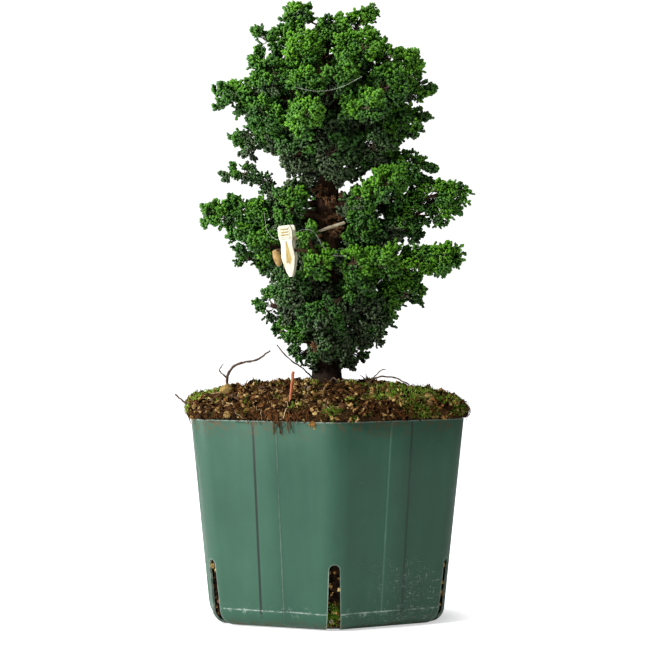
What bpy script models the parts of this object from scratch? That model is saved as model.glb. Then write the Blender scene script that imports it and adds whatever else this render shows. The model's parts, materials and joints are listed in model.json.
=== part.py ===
"""Hinoki cypress bonsai in a six-sided slit pot, standing on its raised root ball.

The frame is in metres with +Z up. Its origin is the middle of the pot's flat base, and the
front of the tree looks along -Y. The pot holds the root ball, the root ball holds the trunk,
and the trunk carries sprays of flat, lobed foliage. A moulded clip and a bamboo splint are
fastened on one twig, and dead twigs and a stalk stand in the soil.
"""

import math
import random

import bmesh
import bpy
from mathutils import Matrix, Vector, noise

MM = 0.001
GAP = 0.3 * MM

# Pot: a tapered six-sided shell with round corners, a flat strip on each face, and a slit
# up each corner.
POT_TURN = math.radians(4.0)
POT_HEIGHT = 111.0 * MM
POT_WALL = 1.3 * MM
POT_FACE_TOP = 72.9 * MM
POT_FACE_BASE = 62.2 * MM
POT_CORNER_ROUND = 15.0 * MM
POT_FOOT_ROUND = 9.0 * MM
STRIP_HALF_WIDTH = 6.3 * MM
STRIP_PROUD = 0.7 * MM
SLIT_HALF_WIDTH_TOP = 2.9 * MM
SLIT_HALF_WIDTH_FOOT = 3.7 * MM
SLIT_TOP = 35.5 * MM
SLIT_INNER_END = 57.0 * MM
ARC_STEPS = 4
FOOT_STEPS = 3
SOIL_ARC_STEPS = 2

# Root ball: it fills the pot, stands above the rim and hangs a little over it.
SOIL_OVERHANG = 2.2 * MM
SOIL_SIDE_HEIGHT = 7.5 * MM
SOIL_CROWN = 16.5 * MM
SOIL_ROUGHNESS = 1.5 * MM
GRANULES = 15
GRANULE_SIZES = (2.4 * MM, 4.2 * MM)

# Trunk: height, centre and radius down its length, foot first.
TRUNK_FOOT_RADIUS = 8.6 * MM
TRUNK_FOOT_Z = 116.0 * MM
TRUNK_LINE = (
    (1.0, 0.0, 126.0, 8.6),
    (1.0, 0.0, 131.0, 7.9),
    (0.5, 0.0, 160.0, 7.3),
    (1.5, 1.5, 195.0, 6.9),
    (1.0, 0.0, 230.0, 6.3),
    (3.0, 2.0, 262.0, 4.7),
    (1.0, 0.0, 290.0, 3.3),
    (-3.0, 0.0, 312.0, 2.0),
)
TRUNK_SIDES = 10
LIMB_SIDES = 4
LONG_LIMB = 34 * MM

# Foliage: each spray is a branch that leaves the trunk at a height and carries rounded pads,
# inner pad first, each with the place of its middle and its radius in millimetres.
SPRAYS = {
    "apex": (314, ((-14, 0, 328, 9.5), (4, -6, 323, 7.5))),
    "apex_right": (305, ((20, 1, 326, 8.5),)),
    "crown_left_upper": (305, ((-25, -2, 316, 6.5), (-35, -3, 317, 6.5))),
    "crown_left_second": (298, ((-21, 7, 303, 7.5), (-33, 4, 305, 7))),
    "crown_left_long": (285, ((-37, -2, 288, 9), (-51, -5, 285, 10.5))),
    "crown_left_low": (266, ((-31, -2, 266, 8), (-44, -4, 265, 8))),
    "crown_right_upper": (303, ((25, 7, 310, 8.5), (36, 2, 309, 7.5))),
    "crown_right_shoulder": (292, ((33, 3, 295, 8), (46, -4, 303, 9.5))),
    "crown_right_middle": (283, ((36, 5, 281, 8), (50, 3, 289, 7))),
    "crown_right_low": (266, ((33, -3, 266, 9), (46, -3, 271, 9))),
    "front_upper_left": (303, ((-12, -20, 309, 11),)),
    "front_upper_right": (303, ((11, -16, 310, 8.5), (22, -23, 311, 7.5))),
    "front_middle": (286, ((-9, -28, 291, 9), (8, -31, 296, 9.5))),
    "front_left_bright": (268, ((-11, -30, 275, 8.5), (-10, -45, 272, 10.5))),
    "front_right_bright": (272, ((17, -28, 281, 8.5), (24, -42, 277, 8.5))),
    "front_left_high": (284, ((-29, -20, 295, 10.5),)),
    "front_left_low": (266, ((-30, -21, 274, 10.5),)),
    "front_right_high": (284, ((34, -20, 290, 11),)),
    "under_front": (252, ((-15, -20, 254, 11), (5, -25, 254, 11))),
    "under_right": (254, ((26, -14, 256, 10.5),)),
    "back_top": (300, ((0, 22, 308, 13.5),)),
    "back_left": (286, ((-24, 24, 285, 15),)),
    "back_right": (286, ((26, 24, 285, 15),)),
    "back_under": (258, ((0, 31, 262, 15),)),
    "arching_twig": (228, ((-30, -2, 234, 4.5), (-39, -3, 243, 5), (-50, -3, 243, 5.5))),
    "left_far": (218, ((-34, -4, 221, 9), (-59, -6, 221, 10.5))),
    "left_lower": (204, ((-33, -16, 205, 8.5), (-48, -13, 207, 7.5))),
    "left_tip": (196, ((-31, 1, 196, 8), (-46, -3, 197, 4.2))),
    "right_high": (240, ((32, -5, 250, 9), (47, -7, 247, 9.5))),
    "right_far": (226, ((41, -5, 231, 9.5), (57, -8, 231, 10.5), (72, -6, 232, 9))),
    "front_right_fan": (226, ((21, -18, 231, 8), (33, -27, 237, 9))),
    "right_inner": (210, ((38, -6, 212, 10.5),)),
    "right_low_far": (186, ((34, 0, 188, 11), (51, -4, 195, 11), (66, -6, 196, 11))),
    "front_bright_right": (194, ((16, -34, 194, 8.5), (31, -35, 195, 9))),
    "front_bright_left": (196, ((-2, -37, 195, 7.5), (-9, -42, 207, 5.5))),
    "front_left_body": (220, ((-18, -18, 225, 10.5),)),
    "front_right_body": (210, ((19, -20, 212, 9.5),)),
    "front_grey": (180, ((-18, -27, 181, 11),)),
    "front_low": (176, ((17, -22, 182, 10), (-1, -28, 168, 9.5))),
    "back_left_middle": (222, ((-25, 23, 212, 15),)),
    "back_right_middle": (222, ((27, 23, 216, 15),)),
    "back_middle": (212, ((0, 33, 212, 15),)),
    "low_left_tip": (164, ((-31, -5, 172, 7.5),)),
    "low_left_twig": (152, ((-16, -7, 154, 6.5), (-26, -6, 157, 5))),
    "low_left_foot": (140, ((-12, -8, 145, 6),)),
    "low_right_tip": (166, ((31, -7, 172, 10), (47, -8, 177, 9.5))),
    "low_right_body": (154, ((27, -5, 158, 10), (14, -7, 147, 9))),
    "low_front": (154, ((2, -16, 153, 8.5),)),
    "low_back": (166, ((-15, 18, 172, 12.5), (12, 19, 160, 13))),
}
PAD_FULLNESS = 1.45
CORE_SHARE = 0.5
FAN_REACH = 1.0
FAN_THICKNESS = 1.5 * MM
FANS_PER_AREA = 0.0135 / MM**2
# A fan's edge: the angle from its midline and the share of its length, lobes and notches.
FAN_EDGE = ((-0.85, 0.9), (-0.36, 0.68), (0.0, 1.05), (0.36, 0.68), (0.85, 0.9))
# Triangles of one face of a fan, with 0 its root; few edges run in to the root.
FAN_FACES = ((0, 1, 5), (1, 2, 4), (1, 4, 5), (2, 3, 4))
MOST_FANS = 4
CELL_MARGIN = 0.35 * MM

# Bare twig, clip and splint.
CLIP_MIDDLE = Vector((-19.5, -42.0, 204.0)) * MM
CLIP_TILT = math.radians(-6.0)
CLIP_OPENING = math.radians(4.5)
CLIP_ARM_THICKNESS = 1.5 * MM
CLIP_SPACING = 4.3 * MM
CLIP_WEB = (4.2 * MM, 2.2 * MM)
CLIP_RIBS = 3
# Half width of an arm at each height above the clip's middle.
CLIP_OUTLINE = (
    (-17.0, 1.0),
    (-13.0, 2.4),
    (-6.5, 3.9),
    (0.5, 2.9),
    (3.5, 4.3),
    (8.5, 4.7),
    (10.8, 3.6),
)
TWIG_LINE = ((0, -2, 198, 2.0), (-4, -32, 199.5, 1.4), (-11, -42, 201, 0.9), (-26, -42, 201.3, 0.7))
SPLINT_ENDS = (Vector((-16.6, -42.0, 207.0)) * MM, Vector((10.6, -31.0, 216.2)) * MM)
SPLINT_RADIUS = 0.8 * MM

# Litter that stands in the soil: a line of points with a radius at each.
LITTER = {
    "dead_twig_left": (
        (-53, -22, 122, 0.8),
        (-53, -22, 132, 0.75),
        (-50, -23, 138, 0.7),
        (-44, -23, 140.5, 0.65),
        (-37, -24, 142, 0.55),
        (-29.5, -24, 147, 0.4),
    ),
    "dead_twig_right": (
        (23, -18, 121, 0.6),
        (24, -18, 128.5, 0.55),
        (29, -18, 132.5, 0.5),
        (38, -17, 132, 0.45),
        (46, -16, 128.2, 0.4),
    ),
    "dead_twig_edge": ((-69, -14, 112.5, 0.7), (-75, -15, 117.5, 0.6), (-81.5, -16, 123, 0.45)),
    "seedling_stalk": ((-18.6, -66, 113.5, 1.0), (-18, -66, 124, 0.9), (-16.6, -65, 137, 0.8)),
}

FINISHES = {
    "pot": ((0.087, 0.223, 0.155), 0.45),
    "soil": ((0.06, 0.035, 0.018), 0.95),
    "bark": ((0.12, 0.06, 0.035), 0.9),
    "foliage": ((0.05, 0.16, 0.025), 0.7),
    "clip_plastic": ((0.78, 0.72, 0.55), 0.45),
    "bamboo": ((0.5, 0.42, 0.28), 0.6),
    "dead_wood": ((0.08, 0.05, 0.035), 0.85),
    "red_stalk": ((0.36, 0.1, 0.06), 0.6),
}


def clear_scene():
    for old in list(bpy.data.objects):
        bpy.data.objects.remove(old)


def finish(name):
    """The material of that name, made once."""
    material = bpy.data.materials.get(name)
    if material is None:
        colour, roughness = FINISHES[name]
        material = bpy.data.materials.new(name)
        material.use_nodes = True
        shader = material.node_tree.nodes["Principled BSDF"]
        shader.inputs["Base Color"].default_value = (*colour, 1.0)
        shader.inputs["Roughness"].default_value = roughness
        shader.inputs["Metallic"].default_value = 0.0
    return material


def new_object(name, mesh, material=None):
    """A mesh object, with its material, in the scene's collection."""
    made = bpy.data.objects.new(name, mesh)
    if material:
        mesh.materials.clear()
        mesh.materials.append(finish(material))
    bpy.context.scene.collection.objects.link(made)
    return made


def mesh_of(points, faces, name="shape"):
    """A mesh with its faces turned to point outwards."""
    mesh = bpy.data.meshes.new(name)
    mesh.from_pydata([tuple(p) for p in points], [], faces)
    work = bmesh.new()
    work.from_mesh(mesh)
    bmesh.ops.recalc_face_normals(work, faces=work.faces)
    work.to_mesh(mesh)
    work.free()
    return mesh


def joined(base, others, operation="UNION"):
    """Joins or cuts base by the other objects in one Boolean, applies it, and removes them."""
    group = bpy.data.collections.new("joining")
    bpy.context.scene.collection.children.link(group)
    for other in others:
        group.objects.link(other)
        bpy.context.scene.collection.objects.unlink(other)
    boolean = base.modifiers.new("join", "BOOLEAN")
    boolean.operation = operation
    boolean.operand_type = "COLLECTION"
    boolean.collection = group
    boolean.solver = "MANIFOLD"
    apply_modifiers(base)
    for other in list(group.objects):
        bpy.data.objects.remove(other)
    bpy.data.collections.remove(group)
    return base


def cut(base, cutter):
    """Cuts one closed mesh from another and keeps the cutter."""
    boolean = base.modifiers.new("cut", "BOOLEAN")
    boolean.operation = "DIFFERENCE"
    boolean.object = cutter
    boolean.solver = "MANIFOLD"
    apply_modifiers(base)


def apply_modifiers(thing):
    graph = bpy.context.evaluated_depsgraph_get()
    mesh = bpy.data.meshes.new_from_object(thing.evaluated_get(graph))
    thing.modifiers.clear()
    thing.data = mesh


def keep_largest(thing):
    """Drops loose scraps: only the body with the most volume stays."""
    work = bmesh.new()
    work.from_mesh(thing.data)
    left, bodies = set(work.verts), []
    while left:
        body, front = set(), [left.pop()]
        while front:
            vert = front.pop()
            body.add(vert)
            near = {edge.other_vert(vert) for edge in vert.link_edges} & left
            left -= near
            front.extend(near)
        bodies.append(body)
    biggest = max(bodies, key=lambda body: len(body))
    scraps = [vert for body in bodies if body is not biggest for vert in body]
    bmesh.ops.delete(work, geom=scraps, context="VERTS")
    work.to_mesh(thing.data)
    work.free()


def cutter_object(name, mesh):
    """A helper that only cuts: it is left out of the model."""
    made = new_object(name, mesh)
    made.hide_render = True
    made.display_type = "WIRE"
    return made


def six_sided_ring(face_distance, corner_round, z, strip_proud=None, steps=ARC_STEPS):
    """Points round a six-sided outline with round corners, at height z.

    face_distance runs from the middle to a face. With strip_proud, four of each face's points
    mark the raised strip; without it, two are spread evenly.
    """
    corner = face_distance / math.cos(math.pi / 6) - corner_round / math.cos(math.pi / 6)
    ring = []
    for side in range(6):
        turn = -math.pi / 2 + POT_TURN + side * math.pi / 3
        middle = Vector((math.cos(turn), math.sin(turn), 0)) * corner
        for step in range(steps + 1):
            angle = turn + (step / steps - 0.5) * math.pi / 3
            ring.append(middle + Vector((math.cos(angle), math.sin(angle), 0)) * corner_round)
        out = Vector((math.cos(turn + math.pi / 6), math.sin(turn + math.pi / 6), 0))
        along = Vector((-out.y, out.x, 0))
        half = corner * math.sin(math.pi / 6)
        if strip_proud is None:
            places = [(share * half, 0.0) for share in (-0.35, 0.35)]
        else:
            slope = STRIP_HALF_WIDTH + strip_proud
            places = [
                (-slope, 0.0),
                (-STRIP_HALF_WIDTH, strip_proud),
                (STRIP_HALF_WIDTH, strip_proud),
                (slope, 0.0),
            ]
        for place, rise in places:
            ring.append(out * (face_distance + rise) + along * place)
    return [Vector((p.x, p.y, z)) for p in ring]


def pot_face(z):
    """Distance from the middle to the pot's outer face at height z."""
    return POT_FACE_BASE + (POT_FACE_TOP - POT_FACE_BASE) * z / POT_HEIGHT


def pot_rings(inset, top_z, strip=False, steps=ARC_STEPS):
    """Rings of the pot's wall from its foot to top_z, set in from the outer face."""
    rings = []
    for step in range(FOOT_STEPS + 1):
        turn = step / FOOT_STEPS * math.pi / 2
        shrink = POT_FOOT_ROUND - (POT_FOOT_ROUND - inset) * math.sin(turn)
        z = POT_FOOT_ROUND - (POT_FOOT_ROUND - inset) * math.cos(turn)
        proud = STRIP_PROUD * (step / FOOT_STEPS) ** 2 if strip else None
        face = pot_face(POT_FOOT_ROUND) - shrink
        rings.append(six_sided_ring(face, POT_CORNER_ROUND - shrink, z, proud, steps))
    proud = STRIP_PROUD if strip else None
    face = pot_face(top_z) - inset
    rings.append(six_sided_ring(face, POT_CORNER_ROUND - inset, top_z, proud, steps))
    return rings


def lofted(rings):
    """A closed mesh through rings of equal length, with its first and last ring filled."""
    count = len(rings[0])
    points = [p for ring in rings for p in ring]
    faces = []
    for row in range(len(rings) - 1):
        for i in range(count):
            j = (i + 1) % count
            a, b = row * count, (row + 1) * count
            faces.append((a + i, a + j, b + j, b + i))
    faces.append(tuple(range(count - 1, -1, -1)))
    last = (len(rings) - 1) * count
    faces.append(tuple(range(last, last + count)))
    return mesh_of(points, faces)


def slit_cutter(side):
    """A round-topped prism through one corner of the pot and the edge of its floor."""
    turn = -math.pi / 2 + POT_TURN + side * math.pi / 3
    out = Vector((math.cos(turn), math.sin(turn), 0))
    across = Vector((-out.y, out.x, 0))
    spring = SLIT_TOP - SLIT_HALF_WIDTH_TOP
    outline = [(-SLIT_HALF_WIDTH_FOOT, -2 * MM), (SLIT_HALF_WIDTH_FOOT, -2 * MM)]
    for step in range(7):
        angle = step / 6 * math.pi
        outline.append(
            (SLIT_HALF_WIDTH_TOP * math.cos(angle), spring + SLIT_HALF_WIDTH_TOP * math.sin(angle))
        )
    rings = []
    for reach in (SLIT_INNER_END, POT_FACE_TOP * 1.3):
        rings.append([out * reach + across * x + Vector((0, 0, z)) for x, z in outline])
    return new_object(f"slit_{side}", lofted(rings))


def make_pot():
    outer = pot_rings(0.0, POT_HEIGHT, strip=True)
    inner = pot_rings(POT_WALL, POT_HEIGHT, strip=True)
    pot = new_object("pot", lofted(outer + inner[::-1]), "pot")
    joined(pot, [slit_cutter(side) for side in range(6)], "DIFFERENCE")
    pot.data.shade_smooth()
    pot.data.set_sharp_from_angle(angle=math.radians(35))
    return pot


def soil_height(x, y):
    """Height of the root ball's top above its edge, with its clods."""
    place = Vector((x, y, 0)) / MM
    clods = noise.noise(place * 0.09 + Vector((3, 7, 1))) + 0.6 * noise.noise(place * 0.23)
    return SOIL_ROUGHNESS * clods


def soil_rings():
    """Rings of the root ball from its foot to the middle of its top."""
    inset = POT_WALL + GAP
    ledge = POT_HEIGHT + GAP
    steps = SOIL_ARC_STEPS
    rings = pot_rings(inset, ledge, steps=steps)
    face = POT_FACE_TOP + SOIL_OVERHANG
    corner = POT_CORNER_ROUND + SOIL_OVERHANG
    side = [(0.0, 0.0, 0.0), (0.3, 0.35, 0.8), (0.0, 0.7, 1.0), (-0.9, 1.0, 1.0)]
    for out, up, rough in side:
        height = ledge + up * SOIL_SIDE_HEIGHT
        ring = six_sided_ring(face + out * MM, corner, height, steps=steps)
        rings.append([roughened_side(p, rough) for p in ring])
    top = ledge + SOIL_SIDE_HEIGHT
    for share in (0.93, 0.8, 0.62, 0.42, 0.2):
        ring = six_sided_ring(face * share, corner * share, top, steps=steps)
        rise = (SOIL_CROWN - SOIL_SIDE_HEIGHT) * (1 - share**2.2)
        rings.append([p + Vector((0, 0, rise + soil_height(p.x, p.y))) for p in ring])
    return rings


def roughened_side(p, rough):
    """Moves a point of the soil's free side in or out by its crumbs."""
    out = Vector((p.x, p.y, 0)).normalized()
    bump = noise.noise(p / MM * 0.17 + Vector((11, 2, 5)))
    return p + out * (bump * 1.5 * MM * rough)


def granule(index, draw):
    """One clay grain on the root ball: a lump with flat spots, half sunk."""
    angle = draw.uniform(0, 2 * math.pi)
    reach = (POT_FACE_TOP - 1.5 * MM) * math.sqrt(draw.uniform(0.05, 1.0))
    x, y = reach * math.cos(angle), reach * math.sin(angle)
    share = reach / (POT_FACE_TOP + SOIL_OVERHANG)
    rise = (SOIL_CROWN - SOIL_SIDE_HEIGHT) * (1 - share**2.2)
    z = POT_HEIGHT + GAP + SOIL_SIDE_HEIGHT + rise + soil_height(x, y)
    size = draw.uniform(*GRANULE_SIZES)
    work = bmesh.new()
    bmesh.ops.create_icosphere(work, subdivisions=1, radius=size)
    for vert in work.verts:
        vert.co *= draw.uniform(0.8, 1.15)
        vert.co.z *= 0.8
    turn = Matrix.Rotation(draw.uniform(0, 6.28), 4, "Z") @ Matrix.Rotation(0.4, 4, "X")
    work.transform(Matrix.Translation((x, y, z - 0.1 * size)) @ turn)
    mesh = bpy.data.meshes.new("granule")
    work.to_mesh(mesh)
    work.free()
    return new_object(f"granule_{index}", mesh)


def make_root_ball():
    draw = random.Random(11)
    ball = new_object("root_ball", lofted(soil_rings()), "soil")
    joined(ball, [granule(i, draw) for i in range(GRANULES)])
    holes = [new_object("foot_hole", tube_mesh(foot_line(), TRUNK_SIDES, GAP, GAP))]
    for name, line in LITTER.items():
        holes.append(new_object(name + "_hole", tube_mesh(in_metres(line), 6, GAP, GAP)))
    joined(ball, holes, "DIFFERENCE")
    keep_largest(ball)
    ball.data.materials.clear()
    ball.data.materials.append(finish("soil"))
    return ball


def in_metres(line):
    """(point, radius) pairs from a line written in millimetres."""
    return [(Vector(row[:3]) * MM, row[3] * MM) for row in line]


def foot_line():
    """The plain round foot of the trunk, which stands in the soil."""
    first = in_metres(TRUNK_LINE)[0][0]
    foot = Vector((first.x, first.y, TRUNK_FOOT_Z))
    top = Vector((first.x, first.y, 150 * MM))
    return [(foot, TRUNK_FOOT_RADIUS), (top, TRUNK_FOOT_RADIUS)]


def tube_rings(line, sides, grow=0.0, lengthen=0.0, gnarl=0.0):
    """Rings along a line of (point, radius) pairs, each square to the line there.

    gnarl makes the line lumpy above the soil and leaves it round below.
    """
    points = [p for p, _ in line]
    start, end = (points[1] - points[0]).normalized(), (points[-1] - points[-2]).normalized()
    points = [points[0] - start * lengthen, *points[1:-1], points[-1] + end * lengthen]
    rings = []
    across = start.orthogonal().normalized()
    for i, (_, radius) in enumerate(line):
        before, after = points[max(i - 1, 0)], points[min(i + 1, len(points) - 1)]
        way = (after - before).normalized()
        lumps = gnarl * min(max((points[i].z - 131 * MM) / (25 * MM), 0.0), 1.0)
        across = (across - way * across.dot(way)).normalized()
        other = way.cross(across)
        ring = []
        for k in range(sides):
            angle = 2 * math.pi * k / sides
            out = across * math.cos(angle) + other * math.sin(angle)
            knot = 1 + lumps * noise.noise(points[i] / MM * 0.08 + out * 1.3)
            ring.append(points[i] + out * (radius * knot + grow))
        rings.append(ring)
    return rings


def tube_mesh(line, sides, grow=0.0, lengthen=0.0, gnarl=0.0):
    return lofted(tube_rings(line, sides, grow, lengthen, gnarl))


def trunk_point(z):
    """Centre and radius of the trunk at height z."""
    rows = in_metres(TRUNK_LINE)
    for (low, low_radius), (high, high_radius) in zip(rows, rows[1:]):
        if z <= high.z:
            share = (z - low.z) / (high.z - low.z)
            return low.lerp(high, share), low_radius + (high_radius - low_radius) * share
    return rows[-1]


def limb_line(spray):
    """The branch from inside the trunk to the spray's inner pad."""
    height, pads = SPRAYS[spray]
    start, trunk_radius = trunk_point(height * MM)
    pad, pad_radius = in_metres(pads)[0]
    way = pad - start
    end = start + way * (1 - 0.25 * pad_radius / way.length)
    thick = min(0.42 * trunk_radius, 2.6 * MM)
    line = [(start, thick * 1.15), (end, max(thick * 0.6, 0.9 * MM))]
    if way.length > LONG_LIMB:
        middle = start.lerp(end, 0.5) - Vector((0, 0, 0.06 * way.length))
        line.insert(1, (middle, thick * 0.85))
    return line


def wood(grow, name):
    """The trunk with its limbs and the clip's bare twig as one solid, grown by some margin."""
    line = [foot_line()[0], *in_metres(TRUNK_LINE)]
    trunk = new_object(name, tube_mesh(line, TRUNK_SIDES, grow, grow, 0.14), "bark")
    limbs = [
        new_object("limb_" + spray, tube_mesh(limb_line(spray), LIMB_SIDES, grow, grow))
        for spray in SPRAYS
    ]
    limbs.append(new_object("limb_twig", tube_mesh(in_metres(TWIG_LINE), 6, grow, grow)))
    return joined(trunk, limbs)


def clip_arm(side, grow):
    """One arm of the clip: side is -1 in front and 1 behind."""
    faces = []
    for face in (-1, 1):
        y = side * CLIP_SPACING / 2 + face * (CLIP_ARM_THICKNESS / 2 + grow)
        right = [(w * MM + grow, y, h * MM) for h, w in CLIP_OUTLINE]
        left = [(-w * MM - grow, y, h * MM) for h, w in reversed(CLIP_OUTLINE)]
        faces.append([Vector(p) for p in right + left])
    for ring in faces:
        for p in (ring[0], ring[-1]):
            p.z -= grow
        for p in (ring[len(CLIP_OUTLINE) - 1], ring[len(CLIP_OUTLINE)]):
            p.z += grow
    made = new_object("clip_arm", lofted(faces))
    made.data.transform(Matrix.Rotation(-side * CLIP_OPENING, 4, "X"))
    return made


def box_mesh(size, middle):
    work = bmesh.new()
    bmesh.ops.create_cube(work, size=1.0)
    work.transform(Matrix.Translation(middle) @ Matrix.Diagonal((*size, 1.0)))
    mesh = bpy.data.meshes.new("box")
    work.to_mesh(mesh)
    work.free()
    return mesh


def clip_solid(name, grow=0.0):
    """Two arms joined by a web, with ribs on the front grip, moulded in one piece."""
    front = clip_arm(-1, grow)
    width, height = CLIP_WEB
    depth = CLIP_SPACING + CLIP_ARM_THICKNESS
    size = (width + 2 * grow, depth + 2 * grow, height + 2 * grow)
    web = new_object("clip_web", box_mesh(size, Vector((0, 0, 3.2 * MM))))
    others = [clip_arm(1, grow), web]
    for rib in range(CLIP_RIBS):
        z = (5.6 + 1.7 * rib) * MM
        y = -CLIP_SPACING / 2 - CLIP_ARM_THICKNESS / 2 - 0.15 * MM
        mesh = box_mesh((6.0 * MM, 0.9 * MM + 2 * grow, 0.8 * MM), Vector((0, y, z)))
        mesh.transform(Matrix.Rotation(CLIP_OPENING, 4, "X"))
        others.append(new_object(f"clip_rib_{rib}", mesh))
    made = joined(front, others)
    made.name = name
    made.data.transform(Matrix.Translation(CLIP_MIDDLE) @ Matrix.Rotation(CLIP_TILT, 4, "Y"))
    return made


def splint_mesh(grow=0.0):
    line = [(end, SPLINT_RADIUS) for end in SPLINT_ENDS]
    return tube_mesh(line, 8, grow, grow)


def pad_table():
    """Every pad as (spray, middle, radius)."""
    return [
        (spray, middle, radius * PAD_FULLNESS)
        for spray, (_, pads) in SPRAYS.items()
        for middle, radius in in_metres(pads)
    ]


def walls_round(spray, middle, radius, table):
    """Planes that part a pad from the pads of other sprays, as (normal, distance)."""
    walls = []
    for other, place, size in table:
        if other == spray:
            continue
        way = place - middle
        distance = (way.length_squared - size**2 + radius**2) / (2 * way.length) - CELL_MARGIN
        if distance < 2.5 * radius:
            walls.append((way.normalized(), distance))
    return walls


def pad_core(middle, radius, walls, draw):
    """A small uneven core, kept inside the pad's walls."""
    work = bmesh.new()
    bmesh.ops.create_icosphere(work, subdivisions=1, radius=1.0)
    for vert in work.verts:
        way = vert.co.normalized()
        reach = radius * CORE_SHARE * draw.uniform(0.85, 1.15)
        for normal, distance in walls:
            if way.dot(normal) > 1e-6:
                reach = min(reach, max(distance / way.dot(normal), 0.15 * radius))
        vert.co = middle + way * reach
    mesh = bpy.data.meshes.new("core")
    work.to_mesh(mesh)
    work.free()
    return new_object("core", mesh)


def fan_points(root, way, up, length, width):
    """A blade with three lobes: its root and its edge, arched down to the tips."""
    across = way.cross(up).normalized()
    up = across.cross(way).normalized()
    points = []
    for face in (1, -1):
        for turn, reach in ((0.0, 0.0), *FAN_EDGE):
            lengthwise = math.cos(turn) * reach * length
            sideways = math.sin(turn) * reach * width
            droop = 0.18 * length * reach**2
            thick = FAN_THICKNESS / 2 * (1.35 - 0.5 * reach)
            points.append(root + way * lengthwise + across * sideways + up * (face * thick - droop))
    return points


def fan_object(points):
    count = len(points) // 2
    faces = list(FAN_FACES) + [tuple(count + i for i in face) for face in FAN_FACES]
    for i in range(count):
        j = (i + 1) % count
        faces.append((i, count + i, count + j, j))
    return new_object("fan", mesh_of(points, faces))


def pad_fans(middle, radius, walls, outward, draw):
    """Lobed blades that stand out of a pad's core, more of them on its outer side."""
    wanted = min(MOST_FANS, max(2, round(FANS_PER_AREA * radius**2)))
    fans, tries = [], 0
    directions = []
    while len(fans) < wanted and tries < 60 * wanted:
        tries += 1
        z = draw.uniform(-0.75, 1.0)
        angle = draw.uniform(0, 2 * math.pi)
        flat = math.sqrt(max(0.0, 1 - z * z))
        way = Vector((flat * math.cos(angle), flat * math.sin(angle), z))
        way = (way + outward * 0.45).normalized()
        spread = 1.15 - 0.006 * tries
        if any(way.angle(other) < spread * 2.4 / math.sqrt(wanted) for other in directions):
            continue
        root = middle + way * (0.12 * radius)
        room = 1.0
        up = Vector((draw.uniform(-0.6, 0.6), draw.uniform(-1.3, -0.5), draw.uniform(0.2, 0.8)))
        if abs(way.dot(up.normalized())) > 0.9:
            up = Vector((1.0, 0.0, 0.3))
        while room > 0.55:
            length = FAN_REACH * radius * room
            points = fan_points(root, way, up, length, 0.8 * length)
            inside = all((p - middle).dot(n) < d for p in points for n, d in walls)
            if inside and all(p.z > POT_HEIGHT + 24 * MM for p in points):
                break
            room -= 0.12
        else:
            continue
        directions.append(way)
        fans.append(fan_object(points))
    return fans


def neck(start, end, radius):
    """The stem that joins one pad's core to the next."""
    return new_object("neck", tube_mesh([(start, radius), (end, radius * 0.8)], 4))


def make_spray(spray, table, clearance):
    height, pads = SPRAYS[spray]
    draw = random.Random("hinoki " + spray)
    rows = [(middle, radius * PAD_FULLNESS) for middle, radius in in_metres(pads)]
    pieces = []
    for number, (middle, radius) in enumerate(rows):
        start = trunk_point(height * MM)[0] if number == 0 else rows[number - 1][0]
        outward = (middle - start).normalized()
        walls = walls_round(spray, middle, radius, table)
        pieces.append(pad_core(middle, radius, walls, draw))
        pieces += pad_fans(middle, radius, walls, outward, draw)
        if number:
            pieces.append(neck(rows[number - 1][0], middle, 0.28 * min(radius, rows[number - 1][1])))
    foliage = joined(pieces[0], pieces[1:])
    cut(foliage, clearance)
    keep_largest(foliage)
    foliage.name = "spray_" + spray
    foliage.data.materials.clear()
    foliage.data.materials.append(finish("foliage"))
    return foliage


def make_litter(name, line):
    material = "red_stalk" if name == "seedling_stalk" else "dead_wood"
    return new_object(name, tube_mesh(in_metres(line), 6), material)


def main():
    clear_scene()
    make_pot()
    make_root_ball()
    wood(0.0, "trunk")
    clip = clip_solid("plant_clip")
    clip.data.materials.append(finish("clip_plastic"))
    new_object("splint", splint_mesh(), "bamboo")
    for name, line in LITTER.items():
        make_litter(name, line)
    clearance = wood(GAP, "clearance")
    joined(clearance, [clip_solid("clip_room", GAP), new_object("splint_room", splint_mesh(GAP))])
    clearance.hide_render = True
    clearance.display_type = "WIRE"
    table = pad_table()
    for spray in SPRAYS:
        make_spray(spray, table, clearance)
    bpy.data.objects.remove(clearance)


main()
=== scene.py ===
"""Dresses a potted hinoki cypress with leaf sprays, bark, soil, moss and moulded plastic.

Sizes in the tables are millimetres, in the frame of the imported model: +Z is up, -Y is the
front, and the origin is the middle of the pot's base. Everything built is in metres.
"""

import functools
import json
import math
import random

import bmesh
import bpy
from mathutils import Matrix, Vector, noise
from mathutils.bvhtree import BVHTree

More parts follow.
